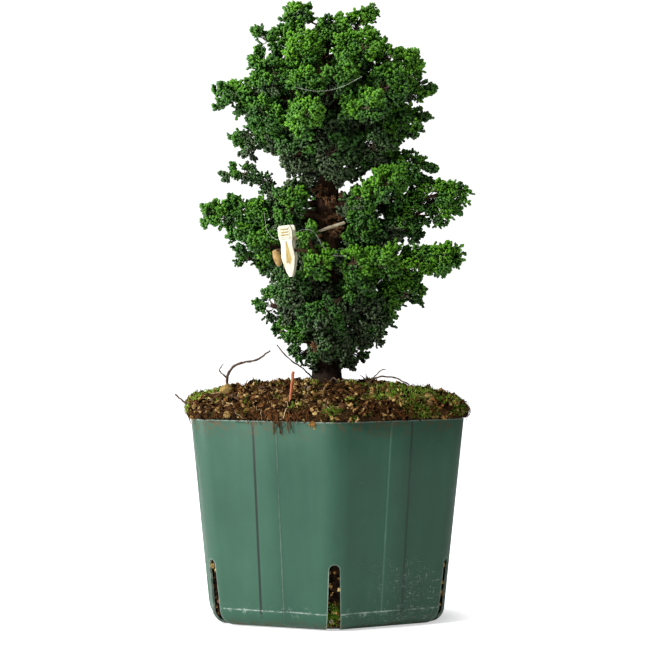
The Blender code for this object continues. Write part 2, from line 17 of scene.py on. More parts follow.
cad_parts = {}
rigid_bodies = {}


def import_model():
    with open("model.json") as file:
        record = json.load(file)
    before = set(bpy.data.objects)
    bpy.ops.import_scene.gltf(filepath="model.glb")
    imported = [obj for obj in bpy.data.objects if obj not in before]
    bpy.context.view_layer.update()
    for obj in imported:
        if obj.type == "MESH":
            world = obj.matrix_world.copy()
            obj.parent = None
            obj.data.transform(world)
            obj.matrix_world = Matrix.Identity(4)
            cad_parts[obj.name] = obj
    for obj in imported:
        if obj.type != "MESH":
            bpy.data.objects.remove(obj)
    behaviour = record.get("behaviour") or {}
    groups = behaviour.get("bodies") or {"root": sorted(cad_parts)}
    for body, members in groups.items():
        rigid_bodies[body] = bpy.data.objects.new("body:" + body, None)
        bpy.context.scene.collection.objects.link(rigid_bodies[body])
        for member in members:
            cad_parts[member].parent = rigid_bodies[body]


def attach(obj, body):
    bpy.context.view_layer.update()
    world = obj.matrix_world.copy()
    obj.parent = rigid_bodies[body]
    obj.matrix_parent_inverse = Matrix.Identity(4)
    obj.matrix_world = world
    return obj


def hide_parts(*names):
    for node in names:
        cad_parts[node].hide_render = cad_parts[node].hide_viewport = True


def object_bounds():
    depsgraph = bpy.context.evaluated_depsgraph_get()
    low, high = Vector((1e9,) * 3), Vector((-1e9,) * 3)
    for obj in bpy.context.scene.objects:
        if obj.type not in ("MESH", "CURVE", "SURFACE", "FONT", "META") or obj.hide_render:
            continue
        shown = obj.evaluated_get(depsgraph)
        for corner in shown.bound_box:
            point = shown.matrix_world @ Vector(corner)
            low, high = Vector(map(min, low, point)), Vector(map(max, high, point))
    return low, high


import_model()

bl_info = {
    "name": "Potted hinoki cypress",
    "version": (1, 0, 0),
    "blender": (4, 5, 0),
    "location": "3D View > Sidebar > Hinoki",
    "description": "Builds the foliage, bark, root ball, pot and studio of a small cypress",
    "category": "Add Mesh",
}

CAD_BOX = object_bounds()
MM = 0.001

# Pot
POT_TURN = math.radians(4.0)
POT_HEIGHT = 111.0
POT_WALL = 1.3
POT_FACE_TOP = 72.9
POT_FACE_BASE = 62.2
CORNER_ROUND = 15.0
FOOT_ROUND = 9.0
# Raised strip up each face: distance from its middle and how far it stands out there.
STRIP_PROFILE = ((7.3, 0.0), (6.9, 0.12), (6.5, 0.5), (6.0, 0.66))
SLIT_TOP = 35.5
SLIT_HALF_WIDTHS = (2.9, 3.7)
# How far from the middle the cutter of a slit starts and ends.
SLIT_CUT = (57.0, 95.0)
# Marks on the pot, in metres: the painted shadow and the painted highlight at the two edges of a
# strip, from a face's middle, the rubbed line at the turn of the foot, and the painted highlight
# along the rim.
STRIP_SHADOW_EDGE = 0.0068
STRIP_HIGHLIGHT_EDGE = -0.0067
FOOT_LINE = 0.0092
RIM_HIGHLIGHT = (0.1102, 0.1107)

# Root ball above the rim: outward step, share of the side's height.
SOIL_SIDE = ((-1.5, 0.0), (-0.3, 0.0), (0.9, 0.05), (1.7, 0.18), (2.1, 0.35), (2.2, 0.55),
             (1.9, 0.75), (1.2, 0.9), (0.2, 1.0))
SOIL_SIDE_HEIGHT = 7.5
# How far the soil stands back from the pot's inner face, and from its outer face at the rim.
SOIL_RECESS = 0.9
SOIL_NECK = 1.9
SOIL_TOP_ROWS = 52
# Low mounds on the soil: place, height and width.
MOUNDS = ((-40, -18, 4.0, 9), (-55, -14, 2.5, 7), (-12, -16, 1.5, 8), (34, -14, 1.6, 9),
          (12, 44, 2, 14))
# Loose lumps of fired clay: place, radius.
LUMPS = ((-53, -27, 125.5, 4.3), (-46, -30, 123.5, 2.8), (8, -62, 120, 4.0),
         (-1.5, -78, 112.8, 3.0), (13, -58, 121, 2.4), (2, -55, 121.5, 2.6),
         (56, -40, 122.5, 3.4), (-6, -77.5, 110, 2.4), (-5.2, -77, 107.6, 1.7), (25, -46, 124, 2.3),
         (-8, -52, 124, 2.2), (40, 40, 124, 3.0), (-60, 20, 121, 3.2), (-20, 60, 122, 2.6))
LUMP_TONES = (0.35, 0.55, 0.4)
SOIL_CROWN = 16.5
# Waves of the soil's surface: how often they come in a millimetre, shift and height.
SOIL_WAVES = ((0.1, (3, 7, 1), 2.4), (0.26, (1, 4, 9), 3.6), (0.62, (0, 0, 0), 2.9))
# Moss on the soil: middle, spread along X and Y, and strength.
MOSS_PATCHES = ((48, -32, 30, 34, 1.0), (-68, -8, 10, 26, 1.0), (-15, 58, 45, 24, 0.5))
# Litter strewn on the root ball: piece, smallest and largest size in metres, seed.
STREWN = {
    "peat_crumbs": (0.0009, 0.0027, 2),
    "clay_granules": (0.0008, 0.0024, 5),
    "moss_tufts": (0.0014, 0.0034, 9),
}
LITTER_SHAPES = 4
# Fine roots: piece, count, range of radii, range of steps, sides, finish.
ROOTS = (
    ("root_fibres", 1450, (0.13, 0.32), (6, 10), 3, "root_fibre"),
    ("pale_roots", 60, (0.12, 0.3), (6, 12), 4, "pale_root"),
)
ROOT_STEP = 1.7
# Roots over the rim: how many in all, how many on the left front face, and of those in a bunch.
HANGING_ROOTS = (60, 34, 8)

# Trunk: centre and radius up its length.
TRUNK_LINE = (
    (1.0, 0.0, 126.0, 8.6), (1.0, 0.0, 131.0, 7.9), (0.5, 0.0, 160.0, 7.3), (1.5, 1.5, 195.0, 6.9),
    (1.0, 0.0, 230.0, 6.3), (3.0, 2.0, 262.0, 4.7), (1.0, 0.0, 290.0, 3.3), (-3.0, 0.0, 312.0, 2.0),
)

# Rings of the bark: height of the first, distance between two, how many, and their points.
BARK_FOOT = 121
BARK_STEP = 2.1
BARK_RINGS = 92
BARK_SIDES = 36
BARK_TONES = ((18, 11, 8), (64, 41, 28), (92, 70, 50))

# Sprays: height of the branch on the trunk, how fresh its leaves are, and its pads, each with
# the place of its middle and its radius.
SPRAYS = {
    "apex": (314, 0.6, ((-14, 0, 328, 9.5), (4, -6, 323, 7.5))),
    "apex_right": (305, 0.65, ((18.5, 1, 325, 8.2), (24, 1, 331, 4))),
    "crown_left_upper": (305, 0.5, ((-24, -2, 316, 6.5), (-33, -3, 317, 5.5))),
    "crown_left_second": (298, 0.4, ((-21, 7, 303, 7.5), (-33, 4, 305, 7))),
    "crown_left_long": (285, 0.55, ((-36, -2, 288, 9), (-49, -5, 285, 9.6))),
    "crown_left_low": (266, 0.45, ((-30, -2, 266, 8), (-41.5, -4, 265, 7))),
    "crown_right_upper": (303, 0.6, ((24, 7, 310, 8.5), (35, 2, 307, 6.5))),
    "crown_right_shoulder": (292, 0.75, ((33, 3, 295, 8), (44, -4, 301, 8.6))),
    "crown_right_middle": (283, 0.5, ((36, 5, 281, 8), (50, 3, 289, 7))),
    "crown_right_low": (266, 0.45, ((33, -3, 266, 9), (46, -3, 271, 9))),
    "front_upper_left": (303, 0.75, ((-12, -20, 309, 11),)),
    "front_upper_right": (303, 0.75, ((11, -16, 310, 8.5), (22, -23, 311, 7.5))),
    "front_middle": (286, 0.5, ((-9, -28, 291, 9), (8, -31, 296, 9.5))),
    "front_left_bright": (268, 0.66, ((-11, -30, 275, 8.5), (-10, -45, 272, 10.5))),
    "front_right_bright": (272, 0.65, ((17, -28, 281, 8.5), (24, -42, 277, 8.5))),
    "front_left_high": (284, 0.45, ((-29, -20, 295, 10.5),)),
    "front_left_low": (266, 0.45, ((-30, -21, 274, 10.5),)),
    "front_right_high": (284, 0.45, ((34, -20, 290, 11),)),
    "under_front": (252, 0.1, ((-15, -20, 254, 11), (5, -25, 254, 11))),
    "under_right": (254, 0.15, ((26, -14, 256, 10.5),)),
    "back_top": (300, 0.5, (
        (0, 14, 316, 10), (-12, 20, 306, 10), (12, 20, 306, 10), (0, 30, 302, 10.5),
        (0, 18, 296, 9))),
    "back_left": (286, 0.45, (
        (-24, 14, 292, 10), (-34, 16, 282, 9.5), (-18, 28, 288, 10.5), (-28, 28, 276, 10),
        (-12, 16, 278, 9))),
    "back_right": (286, 0.45, (
        (24, 14, 292, 10), (35, 16, 282, 9.5), (18, 30, 286, 10.5), (28, 28, 276, 10),
        (12, 16, 276, 9))),
    "back_under": (258, 0.35, (
        (0, 36, 266, 10.5), (-14, 26, 262, 10), (14, 26, 262, 10), (0, 20, 252, 9.5),
        (0, 28, 277, 9))),
    "arching_twig": (228, 0.15, (
        (-25, -2, 229, 4), (-29, -2, 234, 3.4), (-33, -3, 239, 3.2), (-39, -3, 243, 3.8),
        (-45, -3, 244, 3.2), (-50.5, -3, 243, 4))),
    "left_far": (218, 0.5, ((-34, -4, 221, 9), (-45, -5, 223, 7.5), (-56.5, -6, 221, 8.2))),
    "left_lower": (204, 0.55, ((-32, -16, 205, 8.5), (-44, -13, 208, 6.6))),
    "left_tip": (196, 0.35, ((-29, 1, 196, 8), (-42, -3, 197, 3.6))),
    "right_high": (240, 0.5, ((32, -5, 250, 9), (47, -7, 247, 9.5))),
    "right_far": (226, 0.65, (
        (41, -5, 231, 9.5), (57, -8, 231, 9.6), (69.5, -6, 231, 8.2), (50, -6, 221, 6.5),
        (62, -6, 222, 6))),
    "front_right_fan": (226, 0.65, ((21, -18, 231, 8), (33, -27, 237, 9))),
    "right_inner": (210, 0.15, ((38, -6, 212, 10.5), (45, -6, 213, 6.5))),
    "right_low_far": (186, 0.75, ((34, 0, 188, 11), (51, -4, 194, 10.8), (64.5, -6, 196, 9.8))),
    "front_bright_right": (194, 0.76, ((16, -34, 194, 8.5), (31, -35, 195, 9))),
    "front_bright_left": (196, 0.74, ((-2, -37, 195, 7.5), (-9, -42, 207, 5.5))),
    "front_left_body": (220, 0.4, ((-18, -18, 225, 10.5),)),
    "front_right_body": (210, 0.35, ((19, -20, 212, 9.5),)),
    "front_grey": (180, 0.1, ((-18, -27, 181, 11),)),
    "front_low": (176, 0.36, ((17, -22, 182, 10), (-1, -28, 168, 9.5))),
    "back_left_middle": (222, 0.4, (
        (-24, 18, 227, 9.5), (-36, 16, 214, 9.5), (-22, 30, 212, 10.5), (-28, 20, 198, 10),
        (-13, 16, 208, 8.5))),
    "back_right_middle": (222, 0.4, (
        (26, 16, 230, 9.5), (40, 14, 218, 9.5), (24, 30, 216, 10.5), (30, 22, 202, 10.5),
        (14, 16, 212, 8.5))),
    "back_middle": (212, 0.4, (
        (0, 36, 216, 10.5), (-12, 34, 204, 10), (12, 34, 204, 10), (0, 24, 230, 9.5),
        (0, 24, 196, 10))),
    "low_left_tip": (164, 0.35, ((-29.5, -5, 171.5, 6.6),)),
    "low_left_twig": (152, 0.4, ((-15, -7, 154, 6.5), (-23.5, -6, 157, 4.4))),
    "low_left_foot": (140, 0.3, ((-11, -8, 146, 5),)),
    "low_right_tip": (166, 0.5, ((31, -7, 172, 10), (45, -8, 178, 8))),
    "low_right_body": (154, 0.22, ((26, -5, 158, 9.4), (14, -7, 147, 8.6))),
    "low_front": (154, 0.2, ((2, -16, 153, 8.5),)),
    "low_back": (166, 0.35, (
        (-18, 16, 178, 10), (-6, 24, 182, 10), (12, 22, 180, 10.5), (23, 13, 168, 9.5),
        (-13, 16, 162, 9), (8, 20, 161, 10), (0, 11, 149, 8.5))),
}

# Old dark foliage close to the trunk, under the sprays: middle and radius.
FILLERS = {
    "crown_right_middle": (((12, -9, 296), 11), ((19, -4, 274), 10)),
    "front_middle": (((-6, -13, 280), 11), ((6, -14, 266), 10.5)),
    "front_left_low": (((-20, -8, 262), 10),),
    "under_front": (((-10, -12, 245), 7), ((-15, -4, 250), 7.5)),
    "under_right": (((17, -8, 250), 7.5),),
    "front_left_body": (((-13, -12, 204), 9.5), ((-15, -8, 233), 6.5)),
    "front_right_body": (((17, -10, 224), 8.5), ((14, -14, 197), 9), ((9, -9, 242), 6)),
    "left_tip": (((-20, -6, 188), 9),),
    "front_grey": (((-8, -17, 184), 10.5), ((-14, -9, 168), 9)),
    "front_low": (((6, -17, 172), 9), ((22, -12, 170), 9)),
    "low_front": (((-6, -11, 158), 8), ((8, -11, 146), 7), ((1, -10, 142), 5.5)),
    "crown_left_low": (((-42, -3, 255), 3.4),),
    "low_right_body": (((17, -9, 157), 8.5),),
    "low_left_foot": (((-5, -9, 142), 5.5),),
    "left_lower": (((-22, -8, 214), 8.5),),
    "right_inner": (((29, -10, 201), 9),),
}

# Knobs in pairs along a fan, one unit long: start, lean in degrees, length.
FAN_KNOBS = ((0.1, 66, 0.4), (0.3, 52, 0.46), (0.46, 27, 0.46))
FAN_SHAPES = 6
# Fans on a head and on a shoot, as (share of the twig's length, lean in degrees, count).
HEAD_ROWS = ((0.72, 72, 2), (0.96, 50, 4), (1.0, 20, 3))
SHOOT_ROWS = ((0.6, 46, 1), (0.7, 44, 1), (0.8, 42, 1), (0.9, 38, 1), (1.0, 30, 2), (1.0, 4, 1))

# Brown dead foliage: middle and radius.
DRY_TUFTS = (((-3, -9, 234), 3.0), ((-3, -9, 207), 2.6), ((7, -8, 214), 2.8),
             ((3, -9, 228), 3.4), ((7, -9, 221), 3.0), ((1, -9, 219), 2.6), ((5, -9.5, 212), 2.8),
             ((-5, -22, 149), 1.6), ((9, -7, 231), 3.0), ((2, -13, 199), 2.0))

# The bare twig that carries the clip, and the twigs and stalk in the soil: place and radius.
TWIG_LINE = ((0, -2, 198, 2.0), (-4, -32, 199.5, 1.4), (-11, -42, 201, 0.9), (-26, -42, 201.3, 0.7))
LITTER = {
    "dead_twig_left": (
        (-53, -22, 122, 0.8), (-53, -22, 132, 0.75), (-50, -23, 138, 0.7), (-44, -23, 140.5, 0.65),
        (-37, -24, 142, 0.55), (-29.5, -24, 147, 0.4)),
    "dead_twig_right": (
        (23, -18, 121, 0.6), (24, -18, 128.5, 0.55), (29, -18, 132.5, 0.5), (38, -17, 132, 0.45),
        (46, -16, 128.2, 0.4)),
    "dead_twig_edge": ((-69, -14, 112.5, 0.7), (-75, -15, 117.5, 0.6), (-81.5, -16, 123, 0.45)),
    "seedling_stalk": ((-18.6, -66, 113.5, 0.9), (-18, -66, 124, 0.8), (-16.6, -65, 137, 0.75)),
}
# Fine pale threads across the front, and small sticks in the soil and by the trunk.
THREADS = (
    ((-20, -43, 208), (-12, -46, 212), (-6, -45, 211), (-2, -43, 205), (3, -42, 199),
     (12, -42, 198)),
    ((-33, -22, 222), (-31, -28, 212), (-26, -34, 207), (-23, -40, 210)),
    ((-16, -46, 288), (-4, -45, 286), (8, -44, 288), (20, -44, 294)),
)
STICKS = (
    ((-14, -50, 118, 0.4), (-12, -49, 124, 0.35), (-9.5, -48, 131, 0.3)),
    ((-26, -20, 150, 0.35), (-20, -18, 143, 0.4), (-12, -14, 137, 0.45), (-6, -8, 131, 0.5)),
    ((2, -12, 128, 0.5), (5, -16, 132, 0.45), (9, -20, 127, 0.35)),
    ((20, -26, 124, 0.4), (24, -27, 130, 0.35), (30, -27, 136, 0.3), (33, -26, 137, 0.2)),
    ((24, -27, 130, 0.3), (19, -28, 134, 0.2)),
    ((-53, -22, 132, 0.5), (-57, -22, 136, 0.35), (-55, -23, 140, 0.2)),
)
# Bleached splint behind the clip.
SPLINT_LINE = ((-16.6, -42.0, 207.0, 0.8), (10.6, -31.0, 216.2, 0.8))

# Clip: its middle, its lean, how far each arm leans in, its turn about its length, the distance
# between its arms and their thickness.
CLIP_MIDDLE = Vector((-19.5, -42.0, 204.0))
CLIP_TILT = math.radians(-6.0)
CLIP_OPENING = math.radians(4.5)
CLIP_TURN = math.radians(-20.0)
CLIP_SPACING = 4.3
CLIP_ARM = 1.5
FLAKE_TOP = Vector((-26.6, -40.6, 201.5))
# Half width of an arm at each height above the clip's middle.
CLIP_OUTLINE = (
    (-17.0, 0.8), (-15.0, 1.8), (-13.0, 2.4), (-10.0, 3.2), (-6.5, 3.9), (-3.0, 3.6),
    (0.5, 3.2), (2.0, 3.4), (3.5, 3.8), (6.0, 4.1), (8.5, 4.0), (10.0, 3.7), (10.8, 2.9),
)
# On its front arm: bars, ribs, the body's hollow, and the stained gaps between the ribs.
CLIP_BARS = (3.9, 9.4)
CLIP_RIBS = (4.9, 6.35, 7.8)
CLIP_HOLLOW = ((-0.3, 2.4), (0.3, 2.4), (1.9, -7.5), (0.6, -10.5), (-0.4, -9.0), (-1.3, -10.0))
CLIP_GAPS = (5.62, 7.07, 8.6)

# Plain finishes: the two tones, the roughness, the size and depth of the grain, and the shine.
PLAIN = {
    "root_fibre": ((20, 11, 6), (116, 74, 38), 0.9, 3.0, 0.3, 0.1),
    "pale_root": ((140, 106, 66), (206, 184, 140), 0.8, 3.0, 0.3, 0.4),
    "hinoki_twig": ((84, 66, 48), (142, 128, 108), 0.85, 3.0, 0.3, 0.4),
    "dry_leaf": ((70, 44, 28), (150, 106, 64), 0.8, 2.0, 0.3, 0.4),
    "clip_plastic": ((206, 196, 164), (240, 236, 220), 0.4, 4.0, 0.2, 0.4),
    "clip_stain": ((150, 120, 56), (204, 180, 112), 0.6, 1.5, 0.2, 0.4),
    "dry_flake": ((120, 88, 44), (190, 158, 100), 0.8, 2.0, 0.3, 0.4),
    "dead_wood": ((58, 42, 32), (110, 88, 70), 0.85, 3.0, 0.3, 0.4),
    "red_stalk": ((132, 60, 38), (206, 118, 66), 0.55, 6.0, 0.3, 0.4),
    "bleached_splint": ((150, 134, 108), (206, 194, 166), 0.7, 3.0, 0.3, 0.4),
    "pale_thread": ((150, 150, 138), (214, 214, 204), 0.5, 3.0, 0.3, 0.4),
}

# Studio: the camera in metres, the lights as place and size in metres, and the floor.
CAMERA_PLACE = (0.0001, -1.55, 0.183)
CAMERA_LENS = 156.0
CAMERA_DIP = math.radians(0.83)
LIGHTS = {
    "key": ((-1.2, -1.35, 1.15), 0.32),
    "side": ((-1.95, 0.0, 0.6), 0.8),
    "top": ((-0.3, 0.1, 1.6), 0.9),
}
LIGHTS_AIM = Vector((0, 0, 0.17))
# Strength of the world's light on the plant, and where the camera sees it.
WORLD_FILL = 0.08
WORLD_GLOW = 1.1
WHITE = (1, 1, 1, 1)
FLOOR_REACH = 30000
FLOOR_DROP = -0.3
# Distances from the middle, in metres, at which the floor's glow starts to rise and is full; the
# dimmer glow near the pot is a painted contact shadow.
FLOOR_SHADOW_AND_GLOW = (0.064, 0.088)


def srgb(red, green, blue):
    """A colour given as 0 to 255, in the linear values that shaders use."""
    return tuple(((c / 255 + 0.055) / 1.055) ** 2.4 if c > 10 else c / 255 / 12.92
                 for c in (red, green, blue))


def colour(default, label, words):
    return bpy.props.FloatVectorProperty(
        name=label, description=words, subtype="COLOR", size=3, min=0, max=1, default=default)


def measure(default, label, words, **limits):
    return bpy.props.FloatProperty(name=label, description=words, default=default, **limits)


class HinokiFoliage(bpy.types.PropertyGroup):
    fan_length: measure(
        0.0062, "Fan length", "Length of one flat branchlet of scale leaves", min=0.002,
        unit="LENGTH")
    pad_growth: measure(
        0.96, "Pad growth", "How far the fans reach past each pad's radius", min=0.5, max=2,
        subtype="FACTOR")
    crowding: measure(
        0.125, "Crowding", "Sprigs for each square millimetre of a pad's radius squared",
        min=0.01, max=0.5)
    shoots: bpy.props.IntProperty(
        name="Shoots", description="Loose shoots that stand out of each pad", default=2, min=0)
    inner: colour(srgb(60, 73, 53), "Inner leaf", "Old leaves inside the crown")
    leaf: colour(srgb(50, 94, 37), "Leaf", "Grown leaves")
    tip: colour(srgb(85, 145, 32), "Fresh tip", "New growth at the outer tips")


class HinokiPot(bpy.types.PropertyGroup):
    plastic: colour(srgb(47, 89, 70), "Plastic", "Colour of the moulded pot")
    roughness: measure(
        0.43, "Roughness", "Roughness of the pot's surface", min=0, max=1, subtype="FACTOR")
    # Scales the scratches and rubbed marks together with the painted highlights on the strips and
    # the rim.
    scuffs_and_highlights: measure(
        0.8, "Scuffs", "How strongly scratches and rubbed marks show", min=0, max=1,
        subtype="FACTOR")


class HinokiSoil(bpy.types.PropertyGroup):
    peat: colour(srgb(52, 37, 23), "Peat", "Dark fibrous soil")
    granule: colour(srgb(190, 158, 92), "Granule", "Fired clay grains")
    moss: colour(srgb(98, 140, 34), "Moss", "Moss on the soil")
    crumbs: measure(240000, "Crumbs", "Chips of peat on each square metre of soil", min=0)
    granules: measure(17000, "Granules", "Grains on each square metre of soil", min=0)
    tufts: measure(330000, "Moss tufts", "Tufts on each square metre of full moss", min=0)


class HinokiStage(bpy.types.PropertyGroup):
    floor: colour((0.9, 0.9, 0.9), "Floor", "Colour of the studio floor")
    key_power: measure(
        36, "Key light", "Power of the soft light at the front left", min=0, unit="POWER")
    side_power: measure(
        26, "Side light", "Power of the wide light at the left", min=0, unit="POWER")
    top_power: measure(8, "Top light", "Power of the soft light overhead", min=0, unit="POWER")


GROUPS = {
    "hinoki_foliage": HinokiFoliage,
    "hinoki_pot": HinokiPot,
    "hinoki_soil": HinokiSoil,
    "hinoki_stage": HinokiStage,
}


# Materials


def feed(tree, socket, value):
    """Links another socket to an input, or sets the input's own value."""
    if isinstance(value, bpy.types.NodeSocket):
        tree.links.new(value, socket)
    else:
        socket.default_value = value


def add_node(tree, kind, inputs, settings):
    node = tree.nodes.new(kind)
    for key, value in settings.items():
        setattr(node, key, value)
    for key, value in dict(inputs).items():
        feed(tree, node.inputs[key], value)
    return node


def opaque(shade):
    """A colour of three numbers with a fourth for alpha; a socket stays as it is."""
    return shade if isinstance(shade, bpy.types.NodeSocket) else (*shade, 1.0)


class Finish:
    """A material's node tree, with short ways to add the nodes that these finishes use."""

    def __init__(self, name, roughness, shine=0.5):
        self.material = bpy.data.materials.new(name)
        self.material.use_nodes = True
        self.tree = self.material.node_tree
        self.shader = self.tree.nodes["Principled BSDF"]
        self.drive(Roughness=roughness, Specular_IOR_Level=shine)
        self.place = self.add("ShaderNodeTexCoord").outputs["Object"]

    def add(self, kind, inputs=(), **settings):
        return add_node(self.tree, kind, inputs, settings)

    def drive(self, **inputs):
        """Feeds the shader's inputs, named with _ for each space."""
        for name, value in inputs.items():
            feed(self.tree, self.shader.inputs[name.replace("_", " ")], value)

    def attribute(self, name):
        return self.add("ShaderNodeAttribute", attribute_name=name).outputs["Fac"]

    def stretched(self, scale):
        """The object's coordinates, stretched by a factor along each axis."""
        inputs = {"Vector": self.place, "Scale": scale}
        return self.add("ShaderNodeMapping", inputs).outputs["Vector"]

    def noise(self, size, detail=4.0, rough=0.55, place=None):
        """Noise whose features are about size millimetres across."""
        return self.add("ShaderNodeTexNoise", {
            "Vector": place or self.place, "Scale": 1 / (size * MM), "Detail": detail,
            "Roughness": rough}).outputs["Fac"]

    def math(self, operation, *values):
        return self.add("ShaderNodeMath", enumerate(values), operation=operation).outputs[0]

    def times(self, *values):
        """The product of all values."""
        return functools.reduce(functools.partial(self.math, "MULTIPLY"), values)

    def most(self, *values):
        """The largest of the values."""
        return functools.reduce(functools.partial(self.math, "MAXIMUM"), values)

    def length(self, vector):
        return self.add("ShaderNodeVectorMath", {0: vector}, operation="LENGTH").outputs["Value"]

    def axes(self):
        """The object's coordinates, one by one."""
        return self.add("ShaderNodeSeparateXYZ", {0: self.place}).outputs

    def near(self, value, place, inner, outer):
        """One within inner of a place, and nothing past outer."""
        away = self.math("ABSOLUTE", self.math("SUBTRACT", value, place))
        return self.band(away, inner, outer, 1.0, 0.0)

    def band(self, value, low, high, to_low=0.0, to_high=1.0):
        """Maps value from low..high to to_low..to_high, and holds it at the ends."""
        inputs = (value, low, high, to_low, to_high)
        return self.add("ShaderNodeMapRange", enumerate(inputs)).outputs[0]

    def ramp(self, value, *stops):
        node = self.add("ShaderNodeValToRGB", {"Fac": value})
        elements = node.color_ramp.elements
        while len(elements) < len(stops):
            elements.new(0.5)
        for element, (place, shade) in zip(elements, stops):
            element.position = place
            element.color = opaque(shade)
        return node.outputs["Color"]

    def mix(self, factor, first, second):
        inputs = {0: factor, 6: opaque(first), 7: opaque(second)}
        return self.add("ShaderNodeMix", inputs, data_type="RGBA").outputs[2]

    def colour(self, value):
        self.drive(Base_Color=opaque(value))

    def relief(self, height, depth, strength):
        """Bump of about depth millimetres from a height of 0 to 1."""
        inputs = {"Height": height, "Distance": depth * MM, "Strength": strength}
        self.drive(Normal=self.add("ShaderNodeBump", inputs).outputs["Normal"])


def leaf_finish(choice):
    look = Finish("hinoki_leaf", 0.42, 0.3)
    tip, fresh = look.attribute("tip"), look.attribute("fresh")
    grain = look.band(look.noise(1.3, 3), 0.3, 0.7, -0.16, 0.16)
    along = look.math("ADD", tip, grain)

    # Each ramp runs from painted shade at a fan's root to a paler tip; on the old leaves the paler
    # tip is partly a painted highlight.
    def tones(shade, root, glow):
        return look.ramp(along, (0.05, tuple(root * c for c in shade)), (0.5, shade),
                         (0.95, tuple(min(1.0, g * c) for g, c in zip(glow, shade))))

    value = look.math("ADD", fresh, look.band(look.noise(8, 3), 0.3, 0.7, -0.2, 0.2))
    old = tones(choice.inner, 0.22, (3.3, 3.1, 2.7))
    grown = tones(choice.leaf, 0.26, (2.2, 1.9, 1.5))
    new = tones(choice.tip, 0.26, (1.9, 1.5, 1.2))
    lower = look.mix(look.band(value, -0.05, 0.5), old, grown)
    look.colour(look.mix(look.band(value, 0.5, 1.05), lower, new))
    look.relief(look.noise(0.9, 2), 0.25, 0.6)
    return look.material


def bark_finish(name, dark, light, grey):
    look = Finish(name, 0.85, 0.2)
    strips = look.noise(2.2, 6, 0.65, look.stretched((1.0, 1.0, 0.16)))
    flakes = look.noise(7, 4)
    base = look.ramp(strips, (0.3, dark), (0.55, light), (0.75, grey))
    flaky = look.mix(look.band(flakes, 0.45, 0.7), base, grey)
    # Painted shade under the foliage: the bark turns dark towards the foot of the trunk.
    look.colour(look.mix(look.band(look.axes()["Z"], 0.15, 0.135, 0.0, 0.75), flaky, dark))
    look.relief(strips, 1.2, 0.9)
    return look.material


